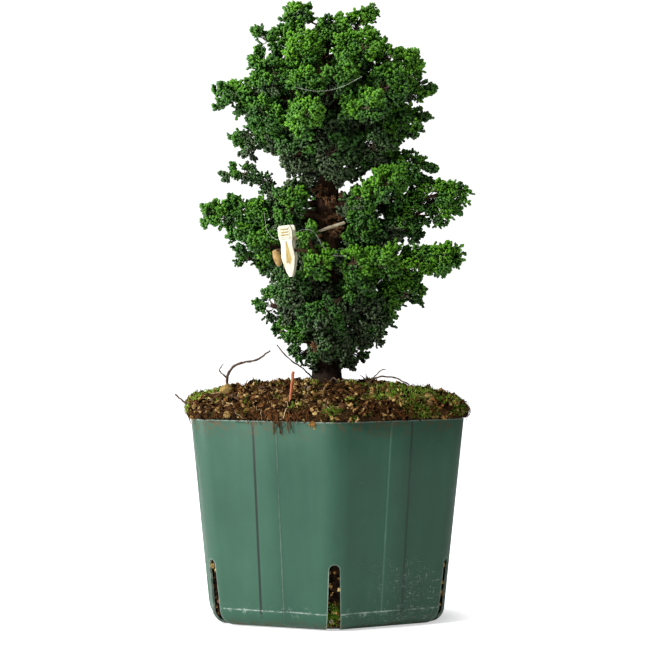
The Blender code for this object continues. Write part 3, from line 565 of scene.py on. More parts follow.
def pot_finish(choice):
    look = Finish("pot_plastic", choice.roughness, 0.38)
    base = choice.plastic
    x, y, height = look.axes()
    flat = look.add("ShaderNodeCombineXYZ", {"X": x, "Y": y}).outputs[0]
    reach = look.length(flat)
    turn = look.math("SUBTRACT", look.math("ARCTAN2", y, x), POT_TURN - math.pi / 2)
    turn = look.math("DIVIDE", turn, math.pi / 3)

    def across(shift):
        """Distance from the middle of the nearest corner, or of the nearest face."""
        share = look.math("WRAP", look.math("SUBTRACT", turn, shift), 0.5, -0.5)
        return look.times(reach, look.math("SINE", look.times(share, math.pi / 3)))

    cloudy = look.noise(26, 5, 0.6)
    streaks = look.noise(7, 5, 0.6, look.stretched((1.0, 1.0, 0.07)))
    shade = look.ramp(look.math("ADD", look.times(cloudy, 0.6), look.times(streaks, 0.4)),
                      (0.32, tuple(0.84 * c for c in base)), (0.52, base),
                      (0.72, tuple(min(1.0, 1.12 * c + 0.006) for c in base)))
    # Painted shadow along the outer edge of each strip and a painted highlight along its inner
    # edge, both stronger on the left face.
    sided = look.times(across(0.5), look.math("SIGN", x))
    above_foot = look.band(height, 0.004, 0.009)
    strip_shadow_line = look.times(look.near(sided, STRIP_SHADOW_EDGE, 0.0005, 0.0011), above_foot,
                           look.band(x, -0.01, 0.01, 1.0, 0.45))
    strip_highlight_line = look.times(look.near(sided, STRIP_HIGHLIGHT_EDGE, 0.0001, 0.0004), above_foot,
                           look.band(look.noise(14, 5, 0.7), 0.3, 0.7),
                           look.band(x, -0.01, 0.01, 0.4, 0.1))
    # The painted shadow of the strip's edge: a near-black line of the plastic.
    shade = look.mix(strip_shadow_line, shade, tuple(0.09 * c for c in base))
    # A rubbed line at the turn of the foot, with smears on both sides.
    wander = look.times(look.math("SUBTRACT", look.noise(20, 3), 0.5), 0.0018)
    level = look.math("ADD", height, wander)
    rubbed = look.times(look.near(level, FOOT_LINE, 0.0001, 0.0005),
                        look.band(look.noise(9, 5, 0.85), 0.44, 0.6))
    smear = look.times(look.near(level, FOOT_LINE, 0.0006, 0.0035),
                       look.band(look.noise(3.2, 6, 0.8), 0.56, 0.68, 0.0, 0.8))
    # Pale edges round the slits, and a painted highlight along the rim.
    top, foot = (half * MM for half in SLIT_HALF_WIDTHS)
    above = look.most(look.math("SUBTRACT", height, SLIT_TOP * MM - top), 0.0)
    side = look.length(look.add("ShaderNodeCombineXYZ", {"X": across(0.0), "Y": above}).outputs[0])
    past = look.math("SUBTRACT", side, look.band(height, 0.0, SLIT_TOP * MM, foot, top))
    slit_edge = look.band(past, 0.0001, 0.0005, 1.0, 0.0)
    slit_edge_and_rim_highlight = look.times(look.most(slit_edge, look.band(height, *RIM_HIGHLIGHT)),
                           look.band(look.noise(6, 5, 0.7), 0.3, 0.6, 0.05, 0.7))
    # Long faint scratches, and a patch of short ones low on the right.
    scratches = look.noise(4, 3, 0.5, look.stretched((0.3, 0.3, 3.4)))
    scratch = look.times(look.band(scratches, 0.73, 0.8), 0.16)
    dashes = [look.noise(1.3, 4, 0.7, look.stretched(way))
              for way in ((0.35, 0.35, 1.6), (1.5, 1.5, 0.4))]
    specks = look.times(look.band(look.most(*dashes), 0.59, 0.68),
                        look.band(x, 0.015, 0.04), look.band(height, 0.042, 0.026),
                        look.band(look.noise(10, 3), 0.4, 0.54), 0.65)
    # Scratches, rubbed marks and pale slit edges, with the painted highlights of the strips and the
    # rim, in one pale mix.
    worn = look.most(rubbed, smear, scratch, specks, slit_edge_and_rim_highlight, strip_highlight_line)
    # Soil dust under the rim and along the foot.
    dusty = look.most(look.band(height, 0.1, 0.111), look.band(height, 0.006, 0.0, 0, 0.9))
    dusty = look.times(dusty, look.band(look.noise(3.2, 6, 0.7), 0.5, 0.6))
    shade = look.mix(look.times(dusty, 0.85), shade, srgb(92, 70, 40))
    look.colour(look.mix(look.times(worn, choice.scuffs_and_highlights), shade, srgb(190, 204, 192)))
    look.drive(Roughness=look.band(look.math("ADD", cloudy, look.times(dusty, 0.5)), 0.3, 1.1,
                                   choice.roughness - 0.06, choice.roughness + 0.3))
    wavy = look.math("ADD", look.noise(40, 2), look.times(look.noise(0.5, 3), 0.05))
    look.relief(wavy, 1.6, 0.35)
    return look.material


def soil_finish(choice):
    look = Finish("soil_peat", 0.95, 0.05)
    clods, crumbs = look.noise(5, 5, 0.7), look.noise(1.3, 4, 0.65)
    value = look.math("ADD", look.times(clods, 0.55), look.times(crumbs, 0.45))
    peat = choice.peat
    base = look.ramp(value, (0.4, tuple(0.2 * c for c in peat)), (0.5, peat),
                     (0.64, srgb(96, 68, 40)))
    fibres = look.noise(1.6, 2, 0.5, look.stretched((0.25, 0.6, 1.2)))
    base = look.mix(look.band(fibres, 0.66, 0.72), base, srgb(128, 92, 56))
    # Painted shade: below the rim, inside the pot, the soil turns nearly black.
    shade_in_pot = look.band(look.axes()["Z"], 0.112, 0.09, 0.0, 0.75)
    base = look.mix(shade_in_pot, base, srgb(14, 9, 6))
    green = look.times(look.attribute("moss"), look.band(clods, 0.42, 0.58), 0.85)
    look.colour(look.mix(green, base, choice.moss))
    look.relief(value, 2.0, 1.0)
    return look.material


def granule_finish(choice):
    look = Finish("clay_granule", 0.9, 0.15)
    grain = look.noise(1.0, 4, 0.7)
    tone = look.ramp(look.attribute("pick"), (0.0, srgb(88, 62, 40)), (0.35, choice.granule),
                     (0.6, srgb(172, 120, 62)), (0.8, srgb(120, 70, 40)),
                     (1.0, srgb(140, 132, 112)))
    look.colour(look.mix(look.band(grain, 0.4, 0.62, 0.65, 0.0), tone, srgb(50, 36, 24)))
    look.relief(grain, 0.8, 0.8)
    return look.material


def crumb_finish():
    look = Finish("peat_crumb", 0.95, 0.05)
    grain = look.math("ADD", look.times(look.noise(1.4, 4, 0.7), 0.5),
                      look.times(look.attribute("pick"), 0.5))
    look.colour(look.ramp(grain, (0.36, srgb(8, 4, 2)), (0.52, srgb(54, 34, 18)),
                          (0.62, srgb(126, 88, 46)), (0.75, srgb(208, 174, 112))))
    look.relief(look.noise(0.8, 3), 0.5, 0.8)
    return look.material


def moss_finish(choice):
    look = Finish("moss", 0.9, 0.15)
    value = look.math("ADD", look.times(look.attribute("tip"), 0.6),
                      look.times(look.attribute("pick"), 0.4))
    look.colour(look.ramp(value, (0.0, srgb(30, 38, 12)), (0.5, choice.moss),
                          (1.0, srgb(184, 220, 84))))
    look.relief(look.noise(0.6, 2), 0.3, 0.6)
    return look.material


def plain_finish(name):
    """A finish of two close tones with fine relief, for wood, stalk and clip."""
    low, high, roughness, size, depth, shine = PLAIN[name]
    look = Finish(name, roughness, shine)
    grain = look.noise(size, 5, 0.6, look.stretched((1.0, 1.0, 0.3)))
    look.colour(look.ramp(grain, (0.32, srgb(*low)), (0.66, srgb(*high))))
    look.relief(grain, depth, 0.7)
    return look.material


# Geometry nodes


class Growth:
    """A geometry node tree, with short ways to add and join its nodes."""

    def __init__(self, name, *sockets):
        self.tree = bpy.data.node_groups.new(name, "GeometryNodeTree")
        face = self.tree.interface
        face.new_socket(name="Geometry", in_out="INPUT", socket_type="NodeSocketGeometry")
        face.new_socket(name="Geometry", in_out="OUTPUT", socket_type="NodeSocketGeometry")
        for label, kind in sockets:
            face.new_socket(name=label, in_out="INPUT", socket_type=kind)
        self.given = self.tree.nodes.new("NodeGroupInput").outputs

    def node(self, kind, inputs, **settings):
        return add_node(self.tree, kind, inputs, settings)

    def add(self, kind, inputs=(), output=0, **settings):
        return self.node(kind, inputs, **settings).outputs[output]

    def named(self, name, kind="FLOAT"):
        return self.add("GeometryNodeInputNamedAttribute", {"Name": name}, data_type=kind)

    def random(self, kind, low, high, seed=0):
        """A random value for each point, between two of its kind."""
        output = ("FLOAT_VECTOR", "FLOAT", "INT").index(kind)
        inputs = {2 * output: low, 2 * output + 1: high, "Seed": seed}
        return self.add("FunctionNodeRandomValue", inputs, output, data_type=kind)

    def end(self, *parts):
        joined = self.tree.nodes.new("GeometryNodeJoinGeometry")
        for part in parts:
            self.tree.links.new(part, joined.inputs[0])
        whole = self.add("GeometryNodeRealizeInstances", {0: joined.outputs[0]})
        self.tree.links.new(whole, self.tree.nodes.new("NodeGroupOutput").inputs[0])

    def grow(self, base, name, values):
        """Runs the tree on the base object and returns a plain mesh object of the result."""
        modifier = base.modifiers.new("growth", "NODES")
        modifier.node_group = self.tree
        for item in self.tree.interface.items_tree:
            if item.in_out == "INPUT" and item.name in values:
                modifier[item.identifier] = values[item.name]
        bpy.context.view_layer.update()
        graph = bpy.context.evaluated_depsgraph_get()
        mesh = bpy.data.meshes.new_from_object(base.evaluated_get(graph))
        base.modifiers.remove(modifier)
        bpy.data.objects.remove(base)
        mesh.name = name
        return link_object(name, mesh)


def tube_part(growth, line_mesh, sides, material):
    """Round tubes along a mesh's edges, as thick as its 'thick' attribute says."""
    curve = growth.add("GeometryNodeMeshToCurve", {0: line_mesh})
    circle = growth.add("GeometryNodeCurvePrimitiveCircle", {"Resolution": sides, "Radius": 1.0})
    tube = growth.add("GeometryNodeCurveToMesh", {
        "Curve": curve, "Profile Curve": circle, "Scale": growth.named("thick"), "Fill Caps": True})
    tube = growth.add("GeometryNodeSetShadeSmooth", {0: tube})
    return growth.add("GeometryNodeSetMaterial", {"Geometry": tube, "Material": material})


def scatter_part(growth, points, selection, turn, size, index, material):
    """Instances of the shapes on points, made real, with a material."""
    shapes = growth.add("GeometryNodeCollectionInfo", {
        "Collection": growth.given["Shapes"], "Separate Children": True, "Reset Children": True})
    inputs = {"Points": points, "Instance": shapes, "Pick Instance": True, "Instance Index": index,
              "Rotation": turn, "Scale": size}
    if selection is not None:
        inputs["Selection"] = selection
    placed = growth.add("GeometryNodeInstanceOnPoints", inputs)
    real = growth.add("GeometryNodeRealizeInstances", {0: placed})
    return growth.add("GeometryNodeSetMaterial", {"Geometry": real, "Material": material})


def path_tree():
    """Tubes along paths."""
    growth = Growth("Tubes along paths", ("Sides", "NodeSocketInt"), ("Bark", "NodeSocketMaterial"))
    given = growth.given
    growth.end(tube_part(growth, given["Geometry"], given["Sides"], given["Bark"]))
    return growth


def spray_tree():
    """Fans on the points of a spray, and twigs along its edges."""
    growth = Growth("Leaf spray", ("Fan length", "NodeSocketFloat"),
                    ("Shapes", "NodeSocketCollection"), ("Leaf", "NodeSocketMaterial"),
                    ("Twig", "NodeSocketMaterial"))
    given = growth.given
    size = growth.named("size")
    grows = growth.add("FunctionNodeCompare", {0: size, 1: 0.01}, operation="GREATER_THAN")
    turn = growth.add("FunctionNodeEulerToRotation", {0: growth.named("turn", "FLOAT_VECTOR")})
    scale = growth.add("ShaderNodeMath", {0: size, 1: given["Fan length"]}, operation="MULTIPLY")
    fans = scatter_part(growth, given["Geometry"], grows, turn, scale, growth.named("shape", "INT"),
                        given["Leaf"])
    growth.end(fans, tube_part(growth, given["Geometry"], 4, given["Twig"]))
    return growth


def litter_tree():
    """Small shapes strewn over a surface, thicker where an attribute says."""
    growth = Growth("Strewn on soil", ("Density", "NodeSocketFloat"), ("Seed", "NodeSocketInt"),
                    ("Smallest", "NodeSocketFloat"), ("Largest", "NodeSocketFloat"),
                    ("Where", "NodeSocketString"), ("Shapes", "NodeSocketCollection"),
                    ("Material", "NodeSocketMaterial"))
    given = growth.given
    where = growth.named(given["Where"])
    density = growth.add("ShaderNodeMath", {0: where, 1: given["Density"]}, operation="MULTIPLY")
    node = growth.node("GeometryNodeDistributePointsOnFaces", {
        "Mesh": given["Geometry"], "Density": density, "Seed": given["Seed"]})
    points, turn = node.outputs["Points"], node.outputs["Rotation"]
    size = growth.random("FLOAT", given["Smallest"], given["Largest"], given["Seed"])
    pick = growth.random("FLOAT", 0.0, 1.0, 7)
    points = growth.add("GeometryNodeStoreNamedAttribute", {"Geometry": points, "Name": "pick",
                        "Value": pick}, data_type="FLOAT", domain="POINT")
    spin = growth.random("FLOAT_VECTOR", (0, 0, 0), (0, 0, math.tau))
    turn = growth.add("FunctionNodeRotateRotation", {0: turn, 1: spin}, rotation_space="LOCAL")
    which = growth.random("INT", 0, LITTER_SHAPES - 1, 3)
    growth.end(scatter_part(growth, points, None, turn, size, which, given["Material"]))
    return growth


# Shapes


def link_object(name, data):
    made = bpy.data.objects.new(name, data)
    bpy.context.scene.collection.objects.link(made)
    return made


def mesh_object(name, points, faces=(), edges=(), material=None, smooth=True, **attributes):
    """An object from points in millimetres, with float attributes on its points."""
    mesh = bpy.data.meshes.new(name)
    mesh.from_pydata([tuple(c * MM for c in p) for p in points], list(edges), list(faces))
    for key, values in attributes.items():
        kind = "FLOAT_VECTOR" if values and hasattr(values[0], "__len__") else "FLOAT"
        kind = "INT" if key == "shape" else kind
        layer = mesh.attributes.new(key, kind, "POINT")
        if kind == "FLOAT_VECTOR":
            layer.data.foreach_set("vector", [c for value in values for c in value])
        else:
            layer.data.foreach_set("value", values)
    if material:
        mesh.materials.append(material)
    if smooth and faces:
        mesh.shade_smooth()
    return link_object(name, mesh)


def outward(made):
    """Turns a closed mesh's faces to point out."""
    work = bmesh.new()
    work.from_mesh(made.data)
    bmesh.ops.recalc_face_normals(work, faces=work.faces)
    work.to_mesh(made.data)
    work.free()


def closed_object(name, points, faces, **settings):
    """A mesh object whose faces all point out of it."""
    made = mesh_object(name, points, faces, **settings)
    outward(made)
    return made


def settled(piece, slot, *nodes):
    """Clamps a finished piece into the model's box, hangs it on the root body and hides the solids
    it stands for; slot is not used.
    """
    low, high = CAD_BOX
    for vert in piece.data.vertices:
        for axis in range(3):
            vert.co[axis] = min(high[axis], max(low[axis], vert.co[axis]))
    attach(piece, "root")
    if nodes:
        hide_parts(*nodes)


def joined(name, pieces):
    """One mesh object of several."""
    with bpy.context.temp_override(active_object=pieces[0], object=pieces[0],
                                   selected_objects=pieces, selected_editable_objects=pieces):
        bpy.ops.object.join()
    pieces[0].name = name
    pieces[0].data.name = name
    return pieces[0]


def shapes_collection(name, shapes):
    group = bpy.data.collections.new(name)
    bpy.context.scene.collection.children.link(group)
    for shape in shapes:
        group.objects.link(shape)
        bpy.context.scene.collection.objects.unlink(shape)
    return group


def drop_collection(group):
    for shape in list(group.objects):
        bpy.data.objects.remove(shape)
    bpy.data.collections.remove(group)


def lofted_faces(rows, count):
    """Faces of closed rings, one after another, with a cap at both ends."""
    faces = []
    for row in range(rows - 1):
        for i in range(count):
            j = (i + 1) % count
            a, b = row * count, (row + 1) * count
            faces.append((a + i, a + j, b + j, b + i))
    faces.append(tuple(range(count - 1, -1, -1)))
    faces.append(tuple(range((rows - 1) * count, rows * count)))
    return faces


def apply_modifiers(made):
    graph = bpy.context.evaluated_depsgraph_get()
    mesh = bpy.data.meshes.new_from_object(made.evaluated_get(graph))
    made.modifiers.clear()
    made.data = mesh


def along_line(line, z):
    """Centre and radius of a line of (x, y, z, radius) at height z."""
    for low, high in zip(line, line[1:]):
        if z <= high[2]:
            share = max(0.0, (z - low[2]) / (high[2] - low[2]))
            mixed = [a + (b - a) * share for a, b in zip(low, high)]
            return Vector(mixed[:3]), mixed[3]
    return Vector(line[-1][:3]), line[-1][3]


def heading(angle):
    """A level direction of one unit at an angle from +X."""
    return Vector((math.cos(angle), math.sin(angle), 0))


def beside(way):
    """The level direction a quarter turn from a level one."""
    return Vector((-way.y, way.x, 0))


def corner_turn(side):
    """The angle from +X of one of the pot's six corners; 0 is the front one."""
    return -math.pi / 2 + POT_TURN + side * math.pi / 3


def smooth_path(rows, steps):
    """Points and radii on a smooth curve through rows of (x, y, z, radius)."""
    rows = [Vector(row) for row in rows]
    rows = [rows[0] * 2 - rows[1], *rows, rows[-1] * 2 - rows[-2]]
    made = []
    for a, b, c, d in zip(rows, rows[1:], rows[2:], rows[3:]):
        for step in range(steps):
            t = step / steps
            made.append(0.5 * (2 * b + (c - a) * t + (2 * a - 5 * b + 4 * c - d) * t**2
                               + (3 * b - a - 3 * c + d) * t**3))
    made.append(rows[-2])
    return made


def path_mesh(name, paths):
    """A mesh of edges along paths of (x, y, z, radius), for the tube tree."""
    points, edges, thick = [], [], []
    for path in paths:
        start = len(points)
        points += [tuple(row)[:3] for row in path]
        thick += [row[3] * MM for row in path]
        edges += [(start + i, start + i + 1) for i in range(len(path) - 1)]
    return mesh_object(name, points, edges=edges, thick=thick)


def wobbly(rows, steps, draw, amount):
    """A smooth path with small random bends."""
    path = smooth_path(rows, steps)
    for row in path[1:-1]:
        for axis in range(3):
            row[axis] += draw.uniform(-amount, amount)
        row[3] *= draw.uniform(0.82, 1.15)
    return path


# Pot and soil outlines


def outline(face, corner, arc_steps=8, side_steps=0, strip=0.0):
    """Points round a six-sided outline with round corners; strip raises a band on each face."""
    reach = (face - corner) / math.cos(math.pi / 6)
    ring = []
    for side in range(6):
        turn = corner_turn(side)
        x, y = math.cos(turn) * reach, math.sin(turn) * reach
        for step in range(arc_steps + 1):
            angle = turn + (step / arc_steps - 0.5) * math.pi / 3
            ring.append((x + math.cos(angle) * corner, y + math.sin(angle) * corner))
        out = (math.cos(turn + math.pi / 6), math.sin(turn + math.pi / 6))
        half = reach * 0.5
        if side_steps:
            places = [(half * (2 * (i + 1) / (side_steps + 1) - 1), 0) for i in range(side_steps)]
        else:
            places = [(-p, rise * strip) for p, rise in STRIP_PROFILE]
            places += [(p, rise * strip) for p, rise in reversed(STRIP_PROFILE)]
        for place, rise in places:
            d = face + rise
            ring.append((out[0] * d - out[1] * place, out[1] * d + out[0] * place))
    return ring


def pot_face(z):
    return POT_FACE_BASE + (POT_FACE_TOP - POT_FACE_BASE) * z / POT_HEIGHT


def pot_rows(inset, top, side_steps=0, foot_steps=8, arc_steps=8):
    """Rings from the pot's foot to its top, as (z, outline), set in from the outer face."""
    rows = []
    for step in range(foot_steps + 1):
        turn = step / foot_steps * math.pi / 2
        shrink = FOOT_ROUND - (FOOT_ROUND - inset) * math.sin(turn)
        z = FOOT_ROUND - (FOOT_ROUND - inset) * math.cos(turn)
        strip = (step / foot_steps) ** 2
        face = pot_face(FOOT_ROUND) - shrink
        rows.append((z, outline(face, CORNER_ROUND - shrink, arc_steps, side_steps, strip)))
    for share in (0.07, 0.25, 0.5, 0.75, 1.0):
        z = FOOT_ROUND + (top - FOOT_ROUND) * share
        face = pot_face(z) - inset
        rows.append((z, outline(face, CORNER_ROUND - inset, arc_steps, side_steps, 1.0)))
    return rows


def slit_prism(side):
    """A round-topped prism through one corner of the pot, from outside to under its floor."""
    out = heading(corner_turn(side))
    across = beside(out)
    top, foot = SLIT_HALF_WIDTHS
    shape = [(-foot, -2.0), (foot, -2.0)]
    for step in range(13):
        angle = step / 12 * math.pi
        shape.append((top * math.cos(angle), SLIT_TOP - top + top * math.sin(angle)))
    points = []
    for reach in SLIT_CUT:
        points += [out * reach + across * x + Vector((0, 0, z)) for x, z in shape]
    return closed_object(f"slit_{side}", points, lofted_faces(2, len(shape)), smooth=False)


class HINOKI_OT_pot(bpy.types.Operator):
    """Moulded six-sided pot with raised strips, corner slits, a worn surface and painted shadow and
    highlight lines
    """

    bl_idname = "hinoki.pot"
    bl_label = "Pot"

    def execute(self, context):
        rows = pot_rows(0.0, POT_HEIGHT - 0.6)
        for inset, drop in ((0.2, 0.15), (0.5, 0.0), (0.85, 0.0), (1.1, 0.15)):
            face = pot_face(POT_HEIGHT) - inset
            rows.append((POT_HEIGHT - drop, outline(face, CORNER_ROUND - inset, strip=1.0)))
        rows += pot_rows(POT_WALL, POT_HEIGHT - 0.6)[::-1]
        points = [(x, y, z) for z, ring in rows for x, y in ring]
        pot = closed_object("pot_shell", points, lofted_faces(len(rows), len(rows[0][1])))
        group = shapes_collection("slits", [slit_prism(side) for side in range(6)])
        cut = pot.modifiers.new("slits", "BOOLEAN")
        cut.operation = "DIFFERENCE"
        cut.operand_type = "COLLECTION"
        cut.collection = group
        cut.solver = "EXACT"
        apply_modifiers(pot)
        drop_collection(group)
        pot.data.materials.clear()
        pot.data.materials.append(pot_finish(context.scene.hinoki_pot))
        pot.data.shade_smooth()
        pot.data.set_sharp_from_angle(angle=math.radians(38))
        settled(pot, "pot_plastic", "pot")
        return {"FINISHED"}


# Root ball


def soil_bumps(x, y, z):
    """Height of clods and crumbs at a place on the root ball, in millimetres."""
    place = Vector((x, y, z))
    return sum(tall * noise.noise(place * often + Vector(shift))
               for often, shift, tall in SOIL_WAVES)


def moss_share(x, y, z):
    """How mossy the soil is at a place, on its top or low in the front slit."""
    if z <= POT_HEIGHT + 2:
        return 0.6 * (in_slit(x, y, z) and x > 0 and y < -40 and 4 < z < 12)
    most = max(strength * math.exp(-(((x - mid_x) / wide) ** 2 + ((y - mid_y) / deep) ** 2))
               for mid_x, mid_y, wide, deep, strength in MOSS_PATCHES)
    patch = noise.noise(Vector((x, y, z)) * 0.1 + Vector((8, 1, 3))) * 1.5
    return min(1.0, max(0.0, 1.35 * most + patch - 0.38))


def in_slit(x, y, z):
    """Whether a place on the root ball shows through a slit in the pot's corners."""
    turn = (math.atan2(y, x) + math.pi / 2 - POT_TURN + math.pi / 6) % (math.pi / 3) - math.pi / 6
    return z < SLIT_TOP + 2 and abs(math.hypot(x, y) * math.sin(turn)) < 4


def soil_top(x, y):
    """Height of the root ball's top at a place."""
    share = min(1.0, math.hypot(x, y) / (POT_FACE_TOP + 6))
    rise = (SOIL_CROWN - SOIL_SIDE_HEIGHT) * (1 - share**2.2)
    for mound_x, mound_y, tall, wide in MOUNDS:
        rise += tall * math.exp(-((x - mound_x) ** 2 + (y - mound_y) ** 2) / wide**2)
    return POT_HEIGHT + SOIL_SIDE_HEIGHT + rise + soil_bumps(x, y, 0)


class HINOKI_OT_root_ball(bpy.types.Operator):
    """Root ball of peat with roots, clay granules and moss, standing above the rim"""

    bl_idname = "hinoki.root_ball"
    bl_label = "Root ball"

    def execute(self, context):
        choice = context.scene.hinoki_soil
        steps = dict(arc_steps=9, side_steps=30)
        rows = [[(x, y, z) for x, y in ring]
                for z, ring in pot_rows(POT_WALL + SOIL_RECESS, POT_HEIGHT - 4, foot_steps=6,
                                        **steps)]
        neck = outline(POT_FACE_TOP - SOIL_NECK, CORNER_ROUND - SOIL_NECK, **steps)
        rows.append([(x, y, POT_HEIGHT - 1.5) for x, y in neck])
        top = POT_HEIGHT + SOIL_SIDE_HEIGHT
        for step, share in SOIL_SIDE:
            z = POT_HEIGHT + 0.3 + share * SOIL_SIDE_HEIGHT
            ring = []
            for x, y in outline(POT_FACE_TOP + step, CORNER_ROUND + step, **steps):
                push = 1.0 if step > 0 else 0.0
                swell = push * (0.34 * soil_bumps(x * 1.3, y * 1.3, z * 2) - 0.5)
                grow = 1 + swell / math.hypot(x, y)
                ring.append((x * grow, y * grow, z + push * 0.3 * soil_bumps(x, y, z)))
            rows.append(ring)
        for number in range(SOIL_TOP_ROWS):
            share = 0.985 - 0.97 * number / (SOIL_TOP_ROWS - 1)
            ring = []
            face, corner = (POT_FACE_TOP + 0.5) * share, (CORNER_ROUND + 0.5) * share
            for x, y in outline(face, corner, **steps):
                edge = min(1.0, (1 - share) * 12)
                ring.append((x, y, soil_top(x, y) - (1 - edge) * 0.6))
            rows.append(ring)
        points = [p for ring in rows for p in ring]
        faces = lofted_faces(len(rows), len(rows[0]))
        mossy = [moss_share(*p) for p in points]
        open_top = [1.0 if p[2] > top - 3 else 0.6 * (p[2] > POT_HEIGHT + 1) + 0.5 * in_slit(*p)
                    for p in points]
        ball = closed_object("root_ball_peat", points, faces, material=soil_finish(choice),
                             moss=mossy, open_top=open_top)
        self.strew(ball, choice)
        self.roots(BVHTree.FromPolygons(points, faces))
        self.lumps(choice)
        settled(ball, "soil", "root_ball")
        return {"FINISHED"}

    def strew(self, ball, choice):
        """Crumbs and granules over the soil, and tufts where it is mossy."""
        tree = litter_tree()
        crumb = crumb_finish()
        kinds = (
            ("peat_crumbs", crumb_shape, choice.crumbs, "open_top", crumb),
            ("clay_granules", granule_shape, choice.granules, "open_top", granule_finish(choice)),
            ("moss_tufts", tuft_shape, choice.tufts, "moss", moss_finish(choice)),
        )
        for name, shape, density, where, material in kinds:
            smallest, largest, seed = STREWN[name]
            draw = random.Random(name)
            group = shapes_collection(name, [shape(i, draw) for i in range(LITTER_SHAPES)])
            base = link_object(name + "_base", ball.data.copy())
            made = tree.grow(base, name, {
                "Density": density, "Seed": seed, "Smallest": smallest, "Largest": largest,
                "Where": where, "Shapes": group, "Material": material})
            drop_collection(group)
            settled(made, "soil", "root_ball")

    def roots(self, surface):
        """Fine roots that wander over the soil, and a few that hang over the rim."""
        draw = random.Random(21)
        for name, count, sizes, lengths, sides, finish in ROOTS:
            paths = []
            while len(paths) < count:
                angle, reach = draw.uniform(0, math.tau), 86 * math.sqrt(draw.uniform(0.02, 1))
                place = Vector((reach * math.cos(angle), reach * math.sin(angle),
                                draw.uniform(113, 124)))
                way = Vector([draw.uniform(-1, 1) for _ in range(3)])
                bend = Vector([draw.uniform(-0.5, 0.5) for _ in range(3)])
                size, path = draw.uniform(*sizes), []
                for _ in range(draw.randint(*lengths)):
                    near, normal = surface.find_nearest(place)[:2]
                    if near.z < POT_HEIGHT + 0.6:
                        break
                    way = (way - normal * way.dot(normal)).normalized()
                    path.append((*(near + normal * draw.uniform(-0.3, 2.3)), size))
                    place = near + way * ROOT_STEP
                    way += bend + Vector([draw.uniform(-0.45, 0.45) for _ in range(3)])
                if len(path) > 3:
                    paths.append(path)
            if name == "root_fibres":
                paths += self.hanging(draw)
            tubes = {"Sides": sides, "Bark": plain_finish(finish)}
            settled(path_tree().grow(path_mesh(name, paths), name, tubes), "soil", "root_ball")

    def hanging(self, draw):
        """Roots over the rim: one bunch on the left front face and short ends elsewhere."""
        paths = []
        count, on_left, in_bunch = HANGING_ROOTS
        for number in range(count):
            side = -1 if number < on_left else draw.randint(0, 4)
            out = heading(corner_turn(side + 0.5))
            across = beside(out)
            bunch = number < in_bunch
            place = draw.uniform(6, 15) if bunch else draw.uniform(-38, 38)
            drop = draw.uniform(8, 13) if bunch else draw.uniform(1.5, 7)
            drift, size, path = draw.uniform(-5, 5), draw.uniform(0.22, 0.5), []
            for step in range(9):
                t = step / 8
                z = 115 - drop * t
                face = POT_FACE_TOP + 2.4 if z > POT_HEIGHT else max(
                    pot_face(z) + 0.8, POT_FACE_TOP + 2.4 - 0.3 * (POT_HEIGHT - z))
                sway = drift * t + 1.1 * math.sin(4.2 * t + number)
                path.append((*(out * face + across * (place + sway))[:2], z, size * (1 - 0.5 * t)))
            paths.append(path)
        return paths

    def lumps(self, choice):
        draw = random.Random(17)
        made = []
        for number, (x, y, z, radius) in enumerate(LUMPS):
            lump = granule_shape(number, draw)
            place = Matrix.Translation(Vector((x, y, z)) * MM)
            lump.data.transform(place @ Matrix.Scale(radius * MM, 4))
            shade = lump.data.attributes.new("pick", "FLOAT", "POINT")
            tone = LUMP_TONES[number % len(LUMP_TONES)]
            shade.data.foreach_set("value", [tone] * len(lump.data.vertices))
            made.append(lump)
        whole = joined("clay_lumps", made)
        whole.data.materials.append(granule_finish(choice))
        whole.data.shade_smooth()
        settled(whole, "soil", "root_ball")


def crumb_shape(number, draw):
    """A chip of peat: a stretched, uneven double pyramid."""
    points = [(draw.uniform(-0.3, 0.3), draw.uniform(-0.3, 0.3), 0.8 * draw.uniform(0.8, 1.2)),
              (draw.uniform(-0.3, 0.3), draw.uniform(-0.3, 0.3), -0.8)]
    for k in range(4):
        angle, reach = math.tau * k / 4 + draw.uniform(-0.3, 0.3), draw.uniform(0.36, 0.72)
        points.append((reach * math.cos(angle), reach * math.sin(angle), draw.uniform(-0.4, 0.4)))
    faces = [(0, 2 + k, 2 + (k + 1) % 4) for k in range(4)]
    faces += [(1, 2 + (k + 1) % 4, 2 + k) for k in range(4)]
    points = [Vector(p).zxy / MM for p in points]
    return closed_object(f"crumb_{number}", points, faces, smooth=False)


def granule_shape(number, draw):
    """A clay grain: a lump with worn corners."""
    work = bmesh.new()
    bmesh.ops.create_uvsphere(work, u_segments=7, v_segments=5, radius=1.0)
    squash = Vector((draw.uniform(0.8, 1.2), draw.uniform(0.7, 1.0), draw.uniform(0.6, 0.85)))
    for vert in work.verts:
        vert.co = vert.co * draw.uniform(0.78, 1.12) * squash
    mesh = bpy.data.meshes.new("granule")
    work.to_mesh(mesh)
    work.free()
    return link_object(f"granule_{number}", mesh)


def tuft_shape(number, draw):
    """A tuft of moss: short blades that lean apart."""
    points, faces, tips = [], [], []
    for blade in range(7):
        angle = math.tau * blade / 7 + draw.uniform(-0.4, 0.4)
        out = heading(angle)
        across = beside(out) * 0.16
        lean, tall = draw.uniform(0.25, 0.9), draw.uniform(0.5, 1.1)
        root = out * draw.uniform(0.0, 0.4) - Vector((0, 0, 0.2))
        start = len(points)
        points += [root + across, root - across, root + out * 0.18 + Vector((0, 0, 0.2)),
                   root + out * lean + Vector((0, 0, tall))]
        faces += [(start, start + 1, start + 3), (start + 1, start + 2, start + 3),
                  (start + 2, start, start + 3), (start, start + 2, start + 1)]
        tips += [0.0, 0.0, 0.1, 1.0]
    return closed_object(f"tuft_{number}", [p / MM for p in points], faces, tip=tips)


# Trunk and branches


